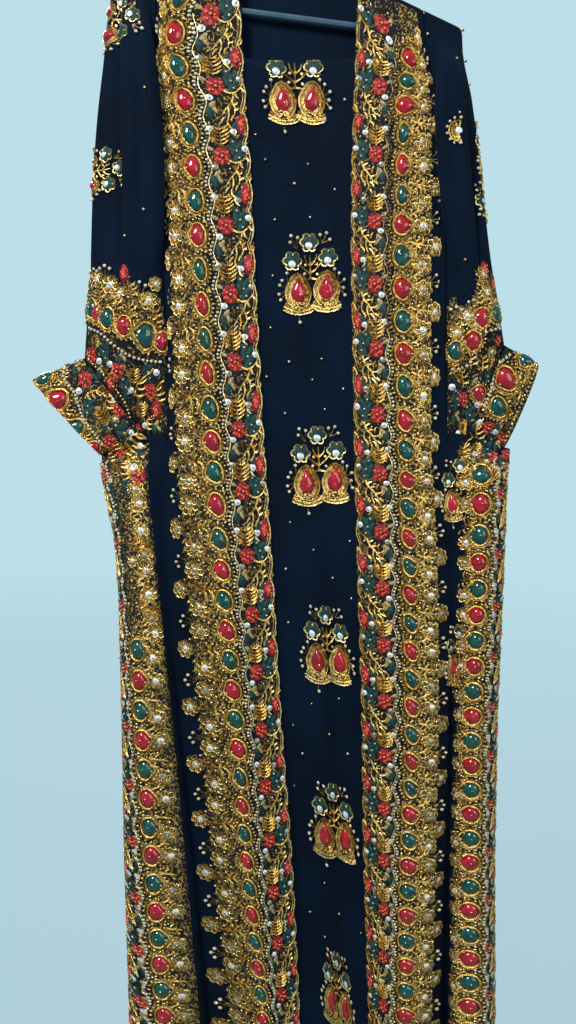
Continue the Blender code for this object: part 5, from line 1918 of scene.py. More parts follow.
class Border:
    """One long border: stones in a row, gold sprays outside, a flowered strip inside."""

    UNIT = 2 * GEM_PITCH
    # Where the pearls, the cord beside them and the piping of the opening run, and how deep
    # their scallops are, in millimetres
    PEARL_LINE = 16.2
    CORD_LINE = 19.2
    PIPING_LINE = 57.0
    SCALLOP = 2.6
    PIPING_SCALLOP = 5.6
    # Padded stitches of one repeat outside the stones: start, end, bend
    STROKES = (
        (-19, 25, -14, 9, 0.25), (-24, 26, -22, 12, 0.2), (-30, 27, -31, 14, -0.15),
        (-27, 26, -38, 17, -0.2), (-19, 26, -14, 41, -0.25), (-24, 27, -24, 40, -0.2),
        (-30, 28, -34, 39, 0.15), (-21, 27, -29, 35, 0.15), (-22, 25, -29, 19, 0.15),
        (-15, -14, -18, -23, 0.2), (-19, -16, -25, -24, -0.2), (-16, -14, -23, -9, 0.2),
        (-23, -16, -33, -15, 0.1), (-21, -17, -31, -22, -0.15), (-14, 52, -21, 60, 0.2),
        (-13, 47, -20, 45, -0.2), (-20, 61, -18, 52, 0.2), (-38, 40, -44, 47, 0.2),
        (-17, -6, -21, 3, 0.3), (-17, 8, -22, 12, 0.2), (-16, 34, -20, 44, 0.3),
        (-40, 12, -45, 18, 0.2), (-42, 53, -46, 59, -0.2), (-9, 20, -15, 21, 0.2),
        (-9, 60, -14, 61, 0.2), (9, 20, 12, 14, 0.2), (9, 61, 12, 67, 0.2),
        (-41, -10, -46, -14, 0.2), (-44, 34, -49, 40, 0.2),
    )
    GOLD_BEADS = ((-26, 17), (-36, 21), (-36, 34), (-20, 33), (-19, 18), (-28, 31),
                  (-26, -13), (-27, -20), (-14, 19), (-14, 62), (-20, 9), (-17, 46),
                  (-24, 63), (-40, -7), (-42, 44), (-21, 56), (9, 20), (9, 61), (-12, 24),
                  (-45, 14), (-21, -10), (0, 20), (0, 61), (-24, 45))
    # Stems of one repeat of the flowered strip
    VINES = (
        ((40, -7), (48, -4), (56, -9), (62, -20)), ((50, -4), (47, 6), (40, 14), (35, 24)),
        ((47, 6), (50, 13), (49, 22)), ((42, 12), (43, 20), (40, 30)),
        ((62, 10), (59, 14), (57, 20)), ((38, 17), (32, 16), (29, 8)),
    )
    LEAF_STROKES = (
        (48, 4, 42, -1), (45, 9, 38, 7), (49, 10, 54, 6), (50, 16, 55, 13), (49, 21, 45, 30),
        (40, 30, 45, 38), (39, 24, 34, 32), (35, 24, 29, 28), (52, -5, 55, 2), (58, -12, 64, -6),
        (60, 18, 63, 12), (36, 12, 34, 3), (44, 40, 49, 47), (40, 34, 36, 41), (27, -30, 22, -35),
    )
    WHITE_BEADS = ((40, 3), (53, 0), (47, 40), (60, -40), (24, -30), (52, 25), (22, 33),
                   (60, 56), (38, 20))

    def __init__(self, sizes: BorderSizes, sheet: Sheet, stamps: Stamps,
                 palette: Palette) -> None:
        """Lays out the border.

        Args:
            sizes: Where it lies.
            sheet: The sheet that it lies on.
            stamps: The small shapes.
            palette: The finishes.
        """
        self.sizes, self.sheet, self.stamps, self.palette = sizes, sheet, stamps, palette
        heights = [(z, float(TOP_ROWS + k)) for k, z in enumerate(LEVELS)]
        heights.append((HEM_Z - 0.01, float(ROW_COUNT - 1)))
        if sizes.top > LEVELS[0]:
            rise = (sizes.top - LEVELS[0]) / 1.05
            heights = [(LEVELS[0] + rise * 1.1, TOP_ROWS - 1.6), (LEVELS[0] + rise, 3.0)] + heights
        self.plan = Plan(sheet, [(x * MM, column) for x, column in sizes.across],
                         [(self.even(z), row) for z, row in heights])
        self.top, self.hem = self.even(sizes.top), self.even(HEM_Z)

    def even(self, z: float) -> float:
        """The height on a border of even repeats that lies at one real height."""
        heights, evens, _ = zip(*self.sizes.rhythm)
        return float(np.interp(-z, [-height for height in heights], evens))

    def needle(self, work: Handwork, z: float) -> Needle:
        """A needle on the row of stones at one height."""
        return Needle(work, self.plan, self.stamps, 0.0, z, span=(self.hem + 0.001, self.top))

    def outer(self, x: float) -> float:
        """Where an outer design lies across."""
        return x * self.sizes.reach if x < 0 else x

    def inner(self, x: float) -> float:
        """Where a design of the flowered strip lies across."""
        start, share = self.sizes.strip
        return start + (x - 18.5) * share

    def build(self) -> None:
        """Makes the grounds and all the handwork."""
        sizes = self.sizes
        for part, columns, finish in (
                ("outer", sizes.outer_ground, "stitched border ground"),
                ("inner", sizes.inner_ground, "dark border ground")):
            lay_ground(self.sheet, f"{sizes.label}_{part}_ground", sizes.rows, columns,
                       self.palette[finish])
        stones, sprays, strip, pearls = (
            Handwork(f"{sizes.label}_{part}", self.palette)
            for part in ("stones", "sprays", "flowers", "pearls"))
        for k in range(14, -32, -1):
            z = UNDERARM_Z + GEM_PITCH * k
            if not self.hem - 3 * GEM_PITCH < z < self.top + 3 * GEM_PITCH:
                continue
            wide = next((share for height, share in sizes.wide if z > self.even(height)),
                        sizes.wide[-1][1])
            stone = Stone.RED if k % 2 == 0 else Stone.GREEN
            self.lay_stone(stones, z, stone, wide)
            self.lay_pearls(pearls, z)
            if k % 2 == 0:
                self.lay_sprays(sprays, z)
                self.lay_strip(strip, z)
        self.lay_edge(pearls)
        strip.build()
        sprays.build()
        pearls.build()
        stones.build(sizes.node)

    def lay_stone(self, work: Handwork, z: float, stone: Stone, wide: float) -> None:
        """One stone, when all of it is on the border."""
        if self.hem + 0.016 < z < min(self.top - 0.012, self.even(self.sizes.stones_top)):
            lean = self.sizes.lean * min(max((-0.35 - z) / 0.4, 0.0), 1.0)
            self.needle(work, z).at(0, 0, lean).stone(stone, wide, self.sizes.beads)

    def lay_pearls(self, work: Handwork, z: float) -> None:
        """Nine pearls scalloped round one stone, and the cord beside them."""
        needle = self.needle(work, z)
        # Above the height dim the pearls and their cord take darker finishes: painted shade of a
        # fold.
        dim = z > self.even(self.sizes.dim)
        for n in range(9):
            share = (n + 0.5) / 9 - 0.5
            x = self.PEARL_LINE + self.SCALLOP * math.cos(2 * math.pi * share)
            # Elsewhere every fourth pearl takes the darker finish as a duller tone.
            needle.put(self.stamps.pearl, x, share * GEM_PITCH / MM,
                       "dim pearl" if dim or n % 4 == 1 else PEARL, size=0.72 if dim else 0.86)
        share = np.linspace(-0.5, 0.5, 9)
        places = np.stack([self.CORD_LINE + self.SCALLOP * np.cos(2 * np.pi * share),
                           share * GEM_PITCH / MM], axis=1)
        needle.line(places, 0.8, ANTIQUE if dim else PALE)

    def lay_sprays(self, work: Handwork, z: float) -> None:
        """The gold sprays, daisies and pearls of one repeat, from a red stone down."""
        needle = self.needle(work, z)
        trunk = [(self.outer(x), down) for x, down in ((-10, 23), (-20, 26), (-31, 27), (-41, 29))]
        needle.vine(trunk, 1.6, GOLD, 8)
        twig = [(self.outer(x), down) for x, down in ((-11, -13), (-18, -15), (-27, -17))]
        needle.vine(twig, 1.3, GOLD, 5)
        strokes = self.STROKES if self.sizes.rich else self.STROKES[::2]
        for n, (x0, y0, x1, y1, bend) in enumerate(strokes):
            needle.stroke((self.outer(x0), y0), (self.outer(x1), y1),
                          GOLD if n % 3 else ANTIQUE, 1.5, bend)
        beads = self.GOLD_BEADS if self.sizes.rich else self.GOLD_BEADS[::2]
        needle.beads([(self.outer(x), down) for x, down in beads], PALE, 0.95)
        for x, down, size in ((-33, 1, 1.0), (-31, 51.5, 1.0), (-54, 28.5, 1.08)):
            if self.sizes.rich or size == 1.0:
                needle.at(self.outer(x), down, size=size).daisy()
        if self.sizes.rich:
            foot = (self.outer(-43), -8)
            needle.pearl_twigs(foot, ((foot[0] - 9, -17), (foot[0] - 14, -9),
                                      (foot[0] - 10, -3)))

    def lay_strip(self, work: Handwork, z: float) -> None:
        """The flowers, leaves and stems of one repeat of the inner strip."""
        _, evens, shifts = zip(*self.sizes.rhythm)
        shift = float(np.interp(-z, [-even for even in evens], shifts))
        needle = self.needle(work, z + shift * MM)
        scale = 1.0 if self.sizes.strip[1] > 0.8 else 0.82
        for x, down, make in ((32.5, -13, Needle.bloom), (32, -38, Needle.fern),
                              (48, -20, Needle.green_leaves), (56, 33, Needle.bud),
                              (25, 14, Needle.leaf_pair)):
            if scale == 1.0 or make is not Needle.fern:
                make(needle.at(self.inner(x), down, size=scale))
        needle.put(self.stamps.leaf, self.inner(21), -22, CREAM, 2.1, 0.6, 0.8)
        needle.put(self.stamps.leaf, self.inner(48), -50, TEAL, 0.5, 0.85, 0.8)
        for n, (x, down) in enumerate(((22, -46), (25, 1), (46.5, -43), (58, -22))):
            needle.put(self.stamps.sequin, self.inner(x), down,
                       "dull sequin" if (n + round(z / self.UNIT)) % 3 == 0 else SEQUIN,
                       size=0.9, lift=1.2)
            needle.put(self.stamps.tiny, self.inner(x) + 0.4, down, PALE, lift=1.8)
        for places in self.VINES:
            needle.vine([(self.inner(x), down) for x, down in places], 1.35, GOLD, 6)
        strokes = self.LEAF_STROKES if self.sizes.rich else self.LEAF_STROKES[::2]
        for n, (x0, y0, x1, y1) in enumerate(strokes):
            needle.stroke((self.inner(x0), y0), (self.inner(x1), y1), PALE if n % 3 == 0 else GOLD,
                          1.45, 0.12)
        needle.beads([(self.inner(x), down) for x, down in self.WHITE_BEADS], PEARL, 0.8)

    def lay_edge(self, work: Handwork) -> None:
        """The scalloped piping along the opening."""
        base = self.inner(self.PIPING_LINE)
        heights = np.arange(self.top - 0.002, self.hem + 0.002, -0.0050)
        beat = np.abs(np.sin(np.pi * (heights - UNDERARM_Z + 0.0105) / GEM_PITCH)) ** 0.7
        swing = self.PIPING_SCALLOP * min(self.sizes.strip[1] * 1.2, 1.0)
        places = np.stack([base + swing * beat, -heights / MM], axis=1)
        needle = Needle(work, self.plan, self.stamps, span=(self.hem + 0.001, self.top))
        beaded = np.where(np.arange(len(places)) % 2, 0.72, 1.1)
        # A border with painted shade gets the darker gold cord as its piping instead of the pale
        # one: painted shade of an edge that folds under.
        needle.line(places, 1.15, PALE if self.sizes.dim == 0 else GOLD, sides=4, thick=beaded)
        places[:, 0] -= 2.6
        needle.line(places, 0.7, ANTIQUE)


FRONT_RHYTHM = {
    Side.LEFT: ((0.0, 0.0, 6), (-0.16, -0.166, 6), (-0.24, -0.249, 5), (-0.36, -0.372, -1),
                (-0.53, -0.534, 0), (-0.77, -0.770, 4), (-0.97, -0.985, 10),
                (-1.12, -1.149, 12), (-1.34, -1.403, 20), (-1.60, -1.712, 20)),
    Side.RIGHT: ((0.0, 0.0, 13), (-0.17, -0.166, 12), (-0.243, -0.247, 12),
                 (-0.32, -0.333, 2), (-0.384, -0.409, -7), (-0.542, -0.569, -6),
                 (-0.699, -0.730, -4), (-0.846, -0.900, -5), (-1.062, -1.148, -7),
                 (-1.20, -1.316, -9), (-1.332, -1.479, -3), (-1.60, -1.80, 0)),
}
SIDE_RHYTHM = {
    Side.LEFT: ((0.0, 0.0, 0), (-0.62, -0.637, 0), (-0.957, -0.982, 0), (-1.111, -1.148, 0),
                (-1.264, -1.316, 0), (-1.403, -1.479, 0), (-1.60, -1.71, 0)),
    Side.RIGHT: ((0.0, 0.0, 0), (-0.733, -0.730, 0), (-0.805, -0.8155, 0),
                 (-0.938, -0.982, 0), (-1.0685, -1.148, 0), (-1.199, -1.3156, 0),
                 (-1.328, -1.479, 0), (-1.60, -1.82, 0)),
}


def border_sizes(panels: "Panels") -> list[tuple[BorderSizes, Sheet]]:
    """Where the six long borders lie.

    Args:
        panels: The cloth.

    Returns:
        Each border's sizes and the sheet that it lies on.
    """
    front = ((-66, 4.2), (-46, 5.0), (-31, 6.0), (-16, 7.0), (0, 8.0), (18, 9.0), (40, 10.0),
             (63, 11.0), (70, 11.25))
    shown = {Side.LEFT: 0.063, Side.RIGHT: 0.042}
    found = []
    for side in Side:
        left = side is Side.LEFT
        found.append((BorderSizes(
            f"front_{side.label}", f"front_band_{side.label}", front,
            (5.2 if left else 5.5, 8.6), (8.6, 11.0),
            (2.0, ROW_COUNT - 1), LEVELS[0] + shown[side], reach=1.0 if left else 0.8,
            wide=((-0.25, 0.86), (-0.42, 0.74), (-0.60, 0.56), (-1.06, 0.74), (-9.0, 0.56))
            if left else ((-0.25, 1.0), (-0.37, 0.56), (-0.55, 0.86), (-0.74, 0.74),
                          (-1.10, 0.56), (-1.17, 0.74), (-9.0, 0.86)),
            # The right front carries painted shade: darker pearls and cord above -0.52 m, and
            # darker piping.
            lean=-0.2 if left else 0.25, dim=0.0 if left else -0.52,
            rhythm=FRONT_RHYTHM[side]), panels.fronts[side]))
        across = (((-48, 3.4), (-38, 3.0), (0, 2.0), (17, 1.0), (40, 0.0)) if left else
                  ((-33, 4.0), (-13, 3.0), (0, 2.42), (17, 1.5), (34, 0.55), (44, 0.0)))
        found.append((BorderSizes(
            f"side_{side.label}", f"side_band_{side.label}", across, (1.3, 3.0), (0.0, 1.3),
            (UNDERARM_ROW, ROW_COUNT - 1), UNDERARM_Z - 0.010, reach=0.62 if left else 0.48,
            strip=(18.0, 0.42), rich=False, beads=15,
            stones_top=-0.905 if left else -0.69, rhythm=SIDE_RHYTHM[side]),
            panels.fronts[side]))
        first, way = (0, 1) if left else (14, -1)
        found.append((BorderSizes(
            f"back_{side.label}", f"back_band_{side.label}",
            ((-40, first + 3 * way), (0, first + 2 * way), (17, first + way), (40, first)),
            tuple(sorted((first + 1.3 * way, first + 3 * way))),
            tuple(sorted((first, first + 1.3 * way))),
            (UNDERARM_ROW, ROW_COUNT - 1), UNDERARM_Z - 0.004, reach=0.7,
            strip=(18.0, 0.42), wide=((-9.0, 0.86),), rich=False, beads=9), panels.back))
    return found


class Design(Enum):
    """The designs that are placed one by one, each with the needle's method that works it."""

    RED = "red_stone"
    GREEN = "green_stone"
    DAISY = "daisy"
    TWIG = "twig"
    PEARL = "pearl"
    BLOOM = "bloom"
    BUD = "bud"
    TEAL = "green_leaves"
    FERN = "fern"
    LEAVES = "leaf_pair"
    SEQUIN = "sequin"
    SPRAY = "spray"
    VINE = "curl"
    BEAD = "bead"


@dataclass(frozen=True)
class Placed:
    """One design and where it is seen from the front, in millimetres."""

    design: Design
    x: float
    z: float
    size: float = 1.0
    turn: float = 0.0


class Panels:
    """The cloth itself: fronts, centre panel, back and sleeves."""

    # Soft folds pressed into the sheets: x and z of each end, depth and width
    CENTER_CREASES = (
        (8, -260, 20, -600, -2.2, 11), (-34, -330, -22, -760, 1.8, 13),
        (58, -420, 74, -850, -2.0, 10), (14, -740, 32, -1090, 2.2, 12),
        (-14, -930, 8, -1370, -2.4, 11), (82, -900, 94, -1280, 2.0, 11),
        (44, -1120, 62, -1570, -2.6, 13), (100, -1270, 110, -1580, -2.0, 9),
        (22, -1330, 30, -1590, 2.4, 10), (38, -230, 40, -470, 1.6, 9),
    )
    FRONT_CREASES = {
        Side.LEFT: (
            (-176, -700, -150, -1240, -2.0, 7), (-150, -1040, -112, -1585, 2.2, 7),
            (-163, -720, -157, -930, 2.0, 6),),
        Side.RIGHT: (
            (196, -690, 198, -1180, -2.0, 7), (188, -820, 190, -1300, 2.2, 6),
            (192, -1200, 190, -1585, -2.4, 7), (203, -740, 200, -1000, 1.6, 5),),
    }
    SLEEVE_CREASES = {
        Side.LEFT: (
            (-196, -150, -192, -440, -1.8, 6), (-209, -190, -206, -470, 2.0, 5),
            (-238, -170, -250, -430, -2.2, 7), (-228, -260, -226, -500, 2.0, 6),
            (-181, -200, -178, -470, 1.6, 5), (-186, -470, -206, -600, -2.0, 7),
            (-246, -470, -214, -620, 2.2, 8),),
        Side.RIGHT: (
            (178, -170, 190, -430, -1.8, 5), (190, -180, 204, -440, 2.0, 5),
            (203, -190, 219, -430, -2.2, 5), (170, -190, 177, -420, 1.6, 5),
            (212, -260, 229, -500, 1.8, 5), (196, -480, 206, -620, -2.0, 6),
            (240, -470, 218, -620, 2.0, 7),),
    }
    BACK_CREASES = (
        (-128, -230, -120, -700, -2.4, 13), (-96, -300, -90, -860, 2.2, 12),
        (-54, -220, -60, -640, -2.0, 14), (0, -260, 6, -820, 2.4, 13),
        (52, -240, 60, -700, -2.2, 12), (104, -300, 98, -880, 2.4, 13),
        (140, -260, 134, -720, -2.0, 11), (-150, -760, -140, -1560, 2.6, 13),
        (-104, -840, -110, -1580, -3.0, 13), (-40, -780, -34, -1570, 2.6, 14),
        (20, -900, 28, -1580, -3.0, 13), (76, -860, 70, -1570, 2.6, 13),
        (128, -800, 136, -1560, -2.8, 13), (168, -900, 172, -1500, 2.0, 11),
    )

    def __init__(self, palette: Palette) -> None:
        """Draws every sheet.

        Args:
            palette: The finishes.
        """
        self.palette = palette
        # Fine rows in each cell: round the hanger's arm, down to the underarm, on to the hem
        rows = [2] * (TOP_ROWS - 1) + [5] + [6] * 6 + [4] + [6] * 11
        self.fronts = {
            side: Sheet(Cut(side.value).front(), rows, [5] * (len(LINES) - 1), -side.value,
                        rolled_top=True, rolled_sides=(True, False))
            for side in Side}
        self.back = Sheet(Cut.back(), rows, [5, 6, 7, 8, 8, 5, 8, 8, 5, 8, 8, 7, 6, 5], -1,
                          rolled_top=True, rolled_sides=(True, True))
        self.center = Sheet(Cut.center(self.fronts[Side.LEFT], self.fronts[Side.RIGHT]),
                            [6] * 6 + [4] + [6] * 11, [5, 6, 8, 8, 8, 8, 6, 5], 1)
        self.sleeves = {
            side: Sheet(Cut(side.value).sleeve(), [2, 2, 2, 5, 6, 6, 6, 4] + [3] * 6,
                        [5] * 12, side.value, rolled_top=True)
            for side in Side}
        self.cuffs = {side: Sheet(Cut(side.value).cuff(), [6] * 4, [4] * CUFF_AROUND, -side.value,
                                  closed=True) for side in Side}
        self.center.crease(self.CENTER_CREASES, (1.2, 6.8))
        self.back.crease(self.BACK_CREASES, (3.0, 11.0))
        for side in Side:
            self.fronts[side].crease(self.FRONT_CREASES[side], (2.6, 5.4))
            self.sleeves[side].crease(self.SLEEVE_CREASES[side], (0.8, 11.2))

    def build(self) -> None:
        """Makes the cloth pieces."""
        arm = len(BACK_SIDE_INSETS)
        last = 2 * arm + len(BACK_FOLDS) + 1
        sizes = {Side.LEFT: ((0.26, 1.53, 0.310), (0.24, 0.56, 0.106), (0.27, 0.10, 0.017)),
                 Side.RIGHT: ((0.26, 1.53, 0.274), (0.18, 0.52, 0.069), (0.26, 0.09, 0.0136))}
        for side in Side:
            front, sleeve, cuff = sizes[side]
            piece = self.fronts[side].mesh(
                f"front_cloth_{side.label}", (0, ROW_COUNT - 1), (0, len(LINES) - 1),
                hidden=lambda r, c: r < UNDERARM_ROW - 0.15 and c < GAP)
            self.finish(piece, front, f"front_{side.label}")
            piece = self.sleeves[side].mesh(f"sleeve_cloth_{side.label}", (0, 14), (0, 12))
            self.finish(piece, sleeve, f"sleeve_{side.label}")
            piece = self.cuffs[side].mesh(f"cuff_cloth_{side.label}", (0, 4),
                                          (0, CUFF_AROUND), lift=0.0004)
            self.finish(piece, cuff, f"cuff_{side.label}")
        piece = self.back.mesh(
            "back_cloth", (0, ROW_COUNT - 1), (0, last),
            hidden=lambda r, c: r < UNDERARM_ROW - 0.15 and not arm < c < last - arm)
        self.finish(piece, (0.52, 1.53, 0.724), "back")
        piece = self.center.mesh("center_cloth", (0, ROW_COUNT - 1 - TOP_ROWS), (0, 8))
        self.finish(piece, (0.21, 1.41, 0.218), "center_panel")

    def finish(self, piece: bpy.types.Object, cut: tuple[float, float, float],
               node: str) -> None:
        """Args:
            piece: The piece.
            cut: Width, length and area of its cut; not used.
            node: The CAD node that it stands for.
        """
        piece.data.materials.append(self.palette["navy georgette"])
        thicken(piece, SHELL)
        settle(piece, "cloth", node)


def placed(**spots: Sequence[tuple[float, ...]]) -> list[Placed]:
    """Designs by name with their places: (x, z), then size and turn where they differ."""
    return [Placed(Design[name.upper()], *spot) for name, group in spots.items()
            for spot in group]


def string_of(design: Design, line: Sequence[Pair], step: float) -> list[Placed]:
    """One design repeated along a line of places.

    Args:
        design: The design.
        line: Places (x, z), in millimetres.
        step: Distance between two of them.

    Returns:
        The places.
    """
    length = sum(math.dist(a, b) for a, b in zip(line, line[1:]))
    return [Placed(design, *spot) for spot in curve_through(line, max(int(length / step), 2))]


@dataclass(frozen=True)
class Workshop:
    """What the handwork of a sub-assembly needs: the cloth, small shapes and finishes."""

    panels: Panels
    stamps: Stamps
    palette: Palette


class Sleeves(Workshop):
    """Embroidery of the sleeves and cuffs: stones, daisies and flowers round each arm."""

    SLEEVE = {
        Side.LEFT: placed(
            daisy=((-254, -450), (-234, -459), (-187, -479), (-178, -458, 0.8),
                   (-222, -470, 0.7)),
            bud=((-216, -446, 0.9), (-180, -612), (-236, -578, 0.9), (-205, -640, 0.9)),
            twig=((-240, -440), (-197, -461), (-258, -441, 0.8)),
            spray=((-208, -493, 0.9), (-246, -470, 0.8), (-224, -484, 0.8), (-206, -468, 0.8),
                   (-178, -500, 0.9), (-262, -462, 0.8), (-196, -480, 0.8), (-232, -478, 0.8)),
            vine=((-200, -585, 1.0, 0.4), (-236, -566, 0.9, -0.4), (-176, -592, 0.9),
                  (-190, -628, 0.8, 0.5)),
            green=((-264, -487, 0.95), (-238, -500, 0.92), (-193, -522, 1.2)),
            red=((-252, -493, 0.8), (-218, -510, 0.9), (-172, -528, 0.9)),
            bloom=((-262, -545), (-227, -564), (-188, -590)),
            teal=((-243, -540, 0.9), (-217, -584, 0.9), (-190, -565, 0.9)),
            fern=((-207, -570, 0.8), (-254, -528, 0.7), (-200, -612, 0.8)),
            sequin=((-211, -588), (-236, -556), (-250, -552), (-179, -566), (-196, -632)),
            leaves=((-222, -548, 0.9), (-182, -634), (-250, -565, 0.9)))
        + string_of(Design.PEARL, ((-264, -511), (-246, -518), (-232, -531), (-210, -546),
                                   (-194, -551), (-174, -553)), 4.9)
        + string_of(Design.BEAD, ((-264, -549), (-241, -572), (-218, -604), (-210, -640)), 4.4),
        Side.RIGHT: placed(
            daisy=((206, -498), (195, -518, 0.9), (230, -468, 0.9), (238, -541, 0.6),
                   (224, -446, 0.8), (216, -508, 0.7), (240, -478, 0.7)),
            twig=((194, -490), (212, -482, 0.8)),
            bud=((227, -440, 0.8), (241, -456, 0.8)),
            spray=((222, -452, 0.9), (236, -472, 0.8), (200, -535, 0.8), (203, -575, 0.9),
                   (212, -552, 0.8), (192, -560, 0.8), (226, -556, 0.8), (231, -490, 0.8),
                   (218, -478, 0.8), (194, -514, 0.8)),
            red=((213, -528, 0.9), (224, -500, 0.9), (223, -592, 0.75)),
            green=((193, -540, 0.9), (243, -493, 0.9, 1.57)),
            bloom=((247, -526, 0.7), (206, -600, 0.9), (226, -622, 0.7)),
            teal=((196, -598, 0.9), (214, -618, 0.9), (232, -570, 0.7)),
            fern=((208, -636, 0.8), (236, -552, 0.6)),
            sequin=((190, -584), (222, -606), (200, -642), (246, -508)),
            leaves=((216, -580, 0.9), (196, -622, 0.9)))
        + string_of(Design.PEARL, ((222, -520), (234, -515), (247, -512)), 4.9)
        + string_of(Design.PEARL, ((190, -562), (205, -560), (216, -548)), 4.9),
    }
    CUFF = {
        Side.LEFT: placed(
            green=((-322, -572, 0.9, 0.7), (-283, -636, 1.0, 0.7)),
            red=((-305, -601, 1.15, 0.7), (-262, -661, 0.8, 0.7)),
            bloom=((-269, -574, 1.05), (-241, -653, 1.0), (-226, -612, 0.95, 0.3),
                   (-214, -596, 0.8, 1.2)),
            teal=((-252, -570, 1.0, -0.5), (-266, -607, 0.95, 0.4), (-222, -641, 1.2, -0.5),
                  (-236, -584, 0.8, -0.6)),
            leaves=((-281, -560, 0.9), (-258, -612, 0.9, 0.7), (-244, -634, 0.8)),
            fern=((-247, -619, 0.9, -0.7), (-206, -560, 0.8, -0.9)),
            vine=((-238, -600, 1.0, 0.5), (-210, -648, 1.1, 1.1), (-258, -592, 0.8, 1.4),
                  (-228, -668, 0.9, 0.3)),
            sequin=((-277, -589), (-213, -641), (-211, -585), (-284, -548)),
            spray=((-318, -590, 0.7, 0.7), (-294, -618, 0.8, 0.7), (-274, -649, 0.8, 0.7),
                   (-300, -572, 0.8, 0.7), (-276, -556, 0.7, -0.6)),
            daisy=((-232, -624, 0.55), (-296, -560, 0.6)))
        + string_of(Design.PEARL, ((-293, -553), (-296, -570), (-282, -592), (-271, -624),
                                   (-258, -643), (-250, -655)), 4.4)
        + string_of(Design.BEAD, ((-333, -580), (-312, -604), (-290, -630), (-262, -664)), 5.0),
        Side.RIGHT: placed(
            green=((284, -550, 0.9, -0.8), (249, -609, 1.0, -0.5)),
            red=((258, -574, 1.15, -0.5),),
            spray=((276, -574, 0.9, -0.8), (270, -596, 0.9, -0.8), (266, -622, 0.8, -0.8),
                   (288, -566, 0.7, -0.8), (240, -556, 0.7, 0.6)),
            bloom=((224, -591, 0.9), (237, -634, 0.9), (257, -648, 0.85)),
            teal=((213, -615, 1.0), (243, -648, 0.8), (228, -570, 0.7)),
            vine=((232, -610, 0.8, -0.6), (226, -640, 0.9, -0.2), (214, -590, 0.8, 0.4)),
            leaves=((252, -632, 0.8), (220, -632, 0.8)),
            sequin=((226, -628), (248, -640)))
        + string_of(Design.PEARL, ((262, -545), (244, -560), (239, -586), (229, -612)), 4.4)
        + string_of(Design.BEAD, ((296, -558), (284, -590), (272, -620), (262, -650)), 5.0),
    }
    # Where the stitched ground starts: columns of the sleeve, and the row in each
    TOP_LINE = {
        Side.LEFT: ((0, 2, 3, 4.5, 5.5, 7, 9, 12), (9.6, 9.0, 9.3, 8.5, 8.8, 8.2, 8.7, 9.2)),
        Side.RIGHT: ((0, 1.5, 3, 4.4, 4.8, 7, 9, 12), (9.5, 8.9, 9.4, 9.2, 8.3, 8.0, 8.6, 9.2)),
    }
    # Crumpled end of the strip, under each cuff, on the side of the front
    SIDE_TOP = {
        Side.LEFT: placed(
            bloom=((-202, -694, 1.1), (-246, -690, 0.8), (-228, -664, 0.8)),
            teal=((-216, -708, 0.8), (-238, -712, 0.9), (-230, -738, 1.0),
                  (-206, -668, 0.8, 0.9)),
            vine=((-220, -684, 1.1, 0.2), (-212, -662, 0.9, 1.0), (-240, -672, 0.8)),
            daisy=((-201, -729, 0.95), (-199, -762, 0.95), (-193, -812, 0.95), (-189, -842, 0.95),
                   (-182, -892, 0.95), (-209, -800, 0.6)),
            fern=((-196, -784, 0.9, -1.2), (-186, -866, 0.8, -1.2)),
            spray=((-208, -746, 0.8), (-203, -780, 0.8), (-202, -826, 0.9), (-196, -858, 0.9),
                   (-198, -884, 0.8)),
            sequin=((-231, -744), (-236, -700), (-214, -684), (-202, -658))),
        Side.RIGHT: placed(
            bloom=((246, -671, 0.9), (262, -668, 0.7), (230, -688, 0.7), (258, -700, 0.8)),
            teal=((238, -662, 0.9), (256, -682, 1.0), (218, -676, 0.9), (262, -712, 0.7)),
            fern=((240, -690, 0.8, -0.6), (224, -662, 0.7)),
            vine=((229, -674, 0.9, -0.4), (252, -690, 0.8), (212, -662, 0.8)),
            leaves=((250, -658, 0.8), (216, -690, 0.8)),
            spray=((226, -700, 0.8), (208, -690, 0.8), (206, -668, 0.8)),
            sequin=((243, -682), (222, -668), (260, -690), (236, -676))),
    }

    def build(self) -> None:
        """Works both sleeves and cuffs, front and back."""
        for side in Side:
            sheet = self.panels.sleeves[side]
            cuff = self.panels.cuffs[side]
            line = self.TOP_LINE[side]
            pieces = (
                (sheet, "sleeve_upper", (8, 11), 12, "stitched", GROUND_LIFT,
                 lambda r, c, line=line: r < np.interp(c, *line)),
                (sheet, "sleeve_lower", (11, 14), 12, "dark", GROUND_LIFT, None),
                (cuff, "cuff_inner", (0, 2), CUFF_AROUND, "dark", CUFF_LIFT, None),
                (cuff, "cuff_outer", (2, 4), CUFF_AROUND, "stitched", CUFF_LIFT, None))
            for base, part, rows, last, finish, lift, hidden in pieces:
                lay_ground(base, f"{part}_ground_{side.label}", rows, (0, last),
                           self.palette[f"{finish} border ground"], lift, hidden)
            self.work(f"sleeve_stitching_{side.label}", sheet, self.SLEEVE[side],
                      ((True, (0.0, 7.2)), (False, (7.6, 12.0))), f"sleeve_band_{side.label}")
            self.work(f"cuff_stitching_{side.label}", cuff, self.CUFF[side],
                      ((True, EVERYWHERE), (False, EVERYWHERE)))
            self.work(f"side_top_stitching_{side.label}", self.panels.fronts[side],
                      self.SIDE_TOP[side], ((True, (0.0, 3.6)),))

    def work(self, name: str, sheet: Sheet, designs: Iterable[Placed],
             views: Iterable[tuple[bool, Pair]], *replaced: str) -> None:
        """Makes one piece of embroidery out of designs that are placed one by one.

        Args:
            name: The piece's name.
            sheet: The sheet that it lies on.
            designs: The designs and their places.
            views: Whether the cloth that faces forward is worked, and between which columns.
            replaced: CAD nodes that the piece stands for.
        """
        work = Handwork(name, self.palette)
        for front, columns in views:
            for each in designs:
                patch = Patch(sheet, each.x * MM, each.z * MM, front, columns)
                needle = Needle(work, patch, self.stamps, size=each.size,
                                turn=each.turn if front else -each.turn)
                getattr(needle, each.design.value)()
        work.build(*replaced)


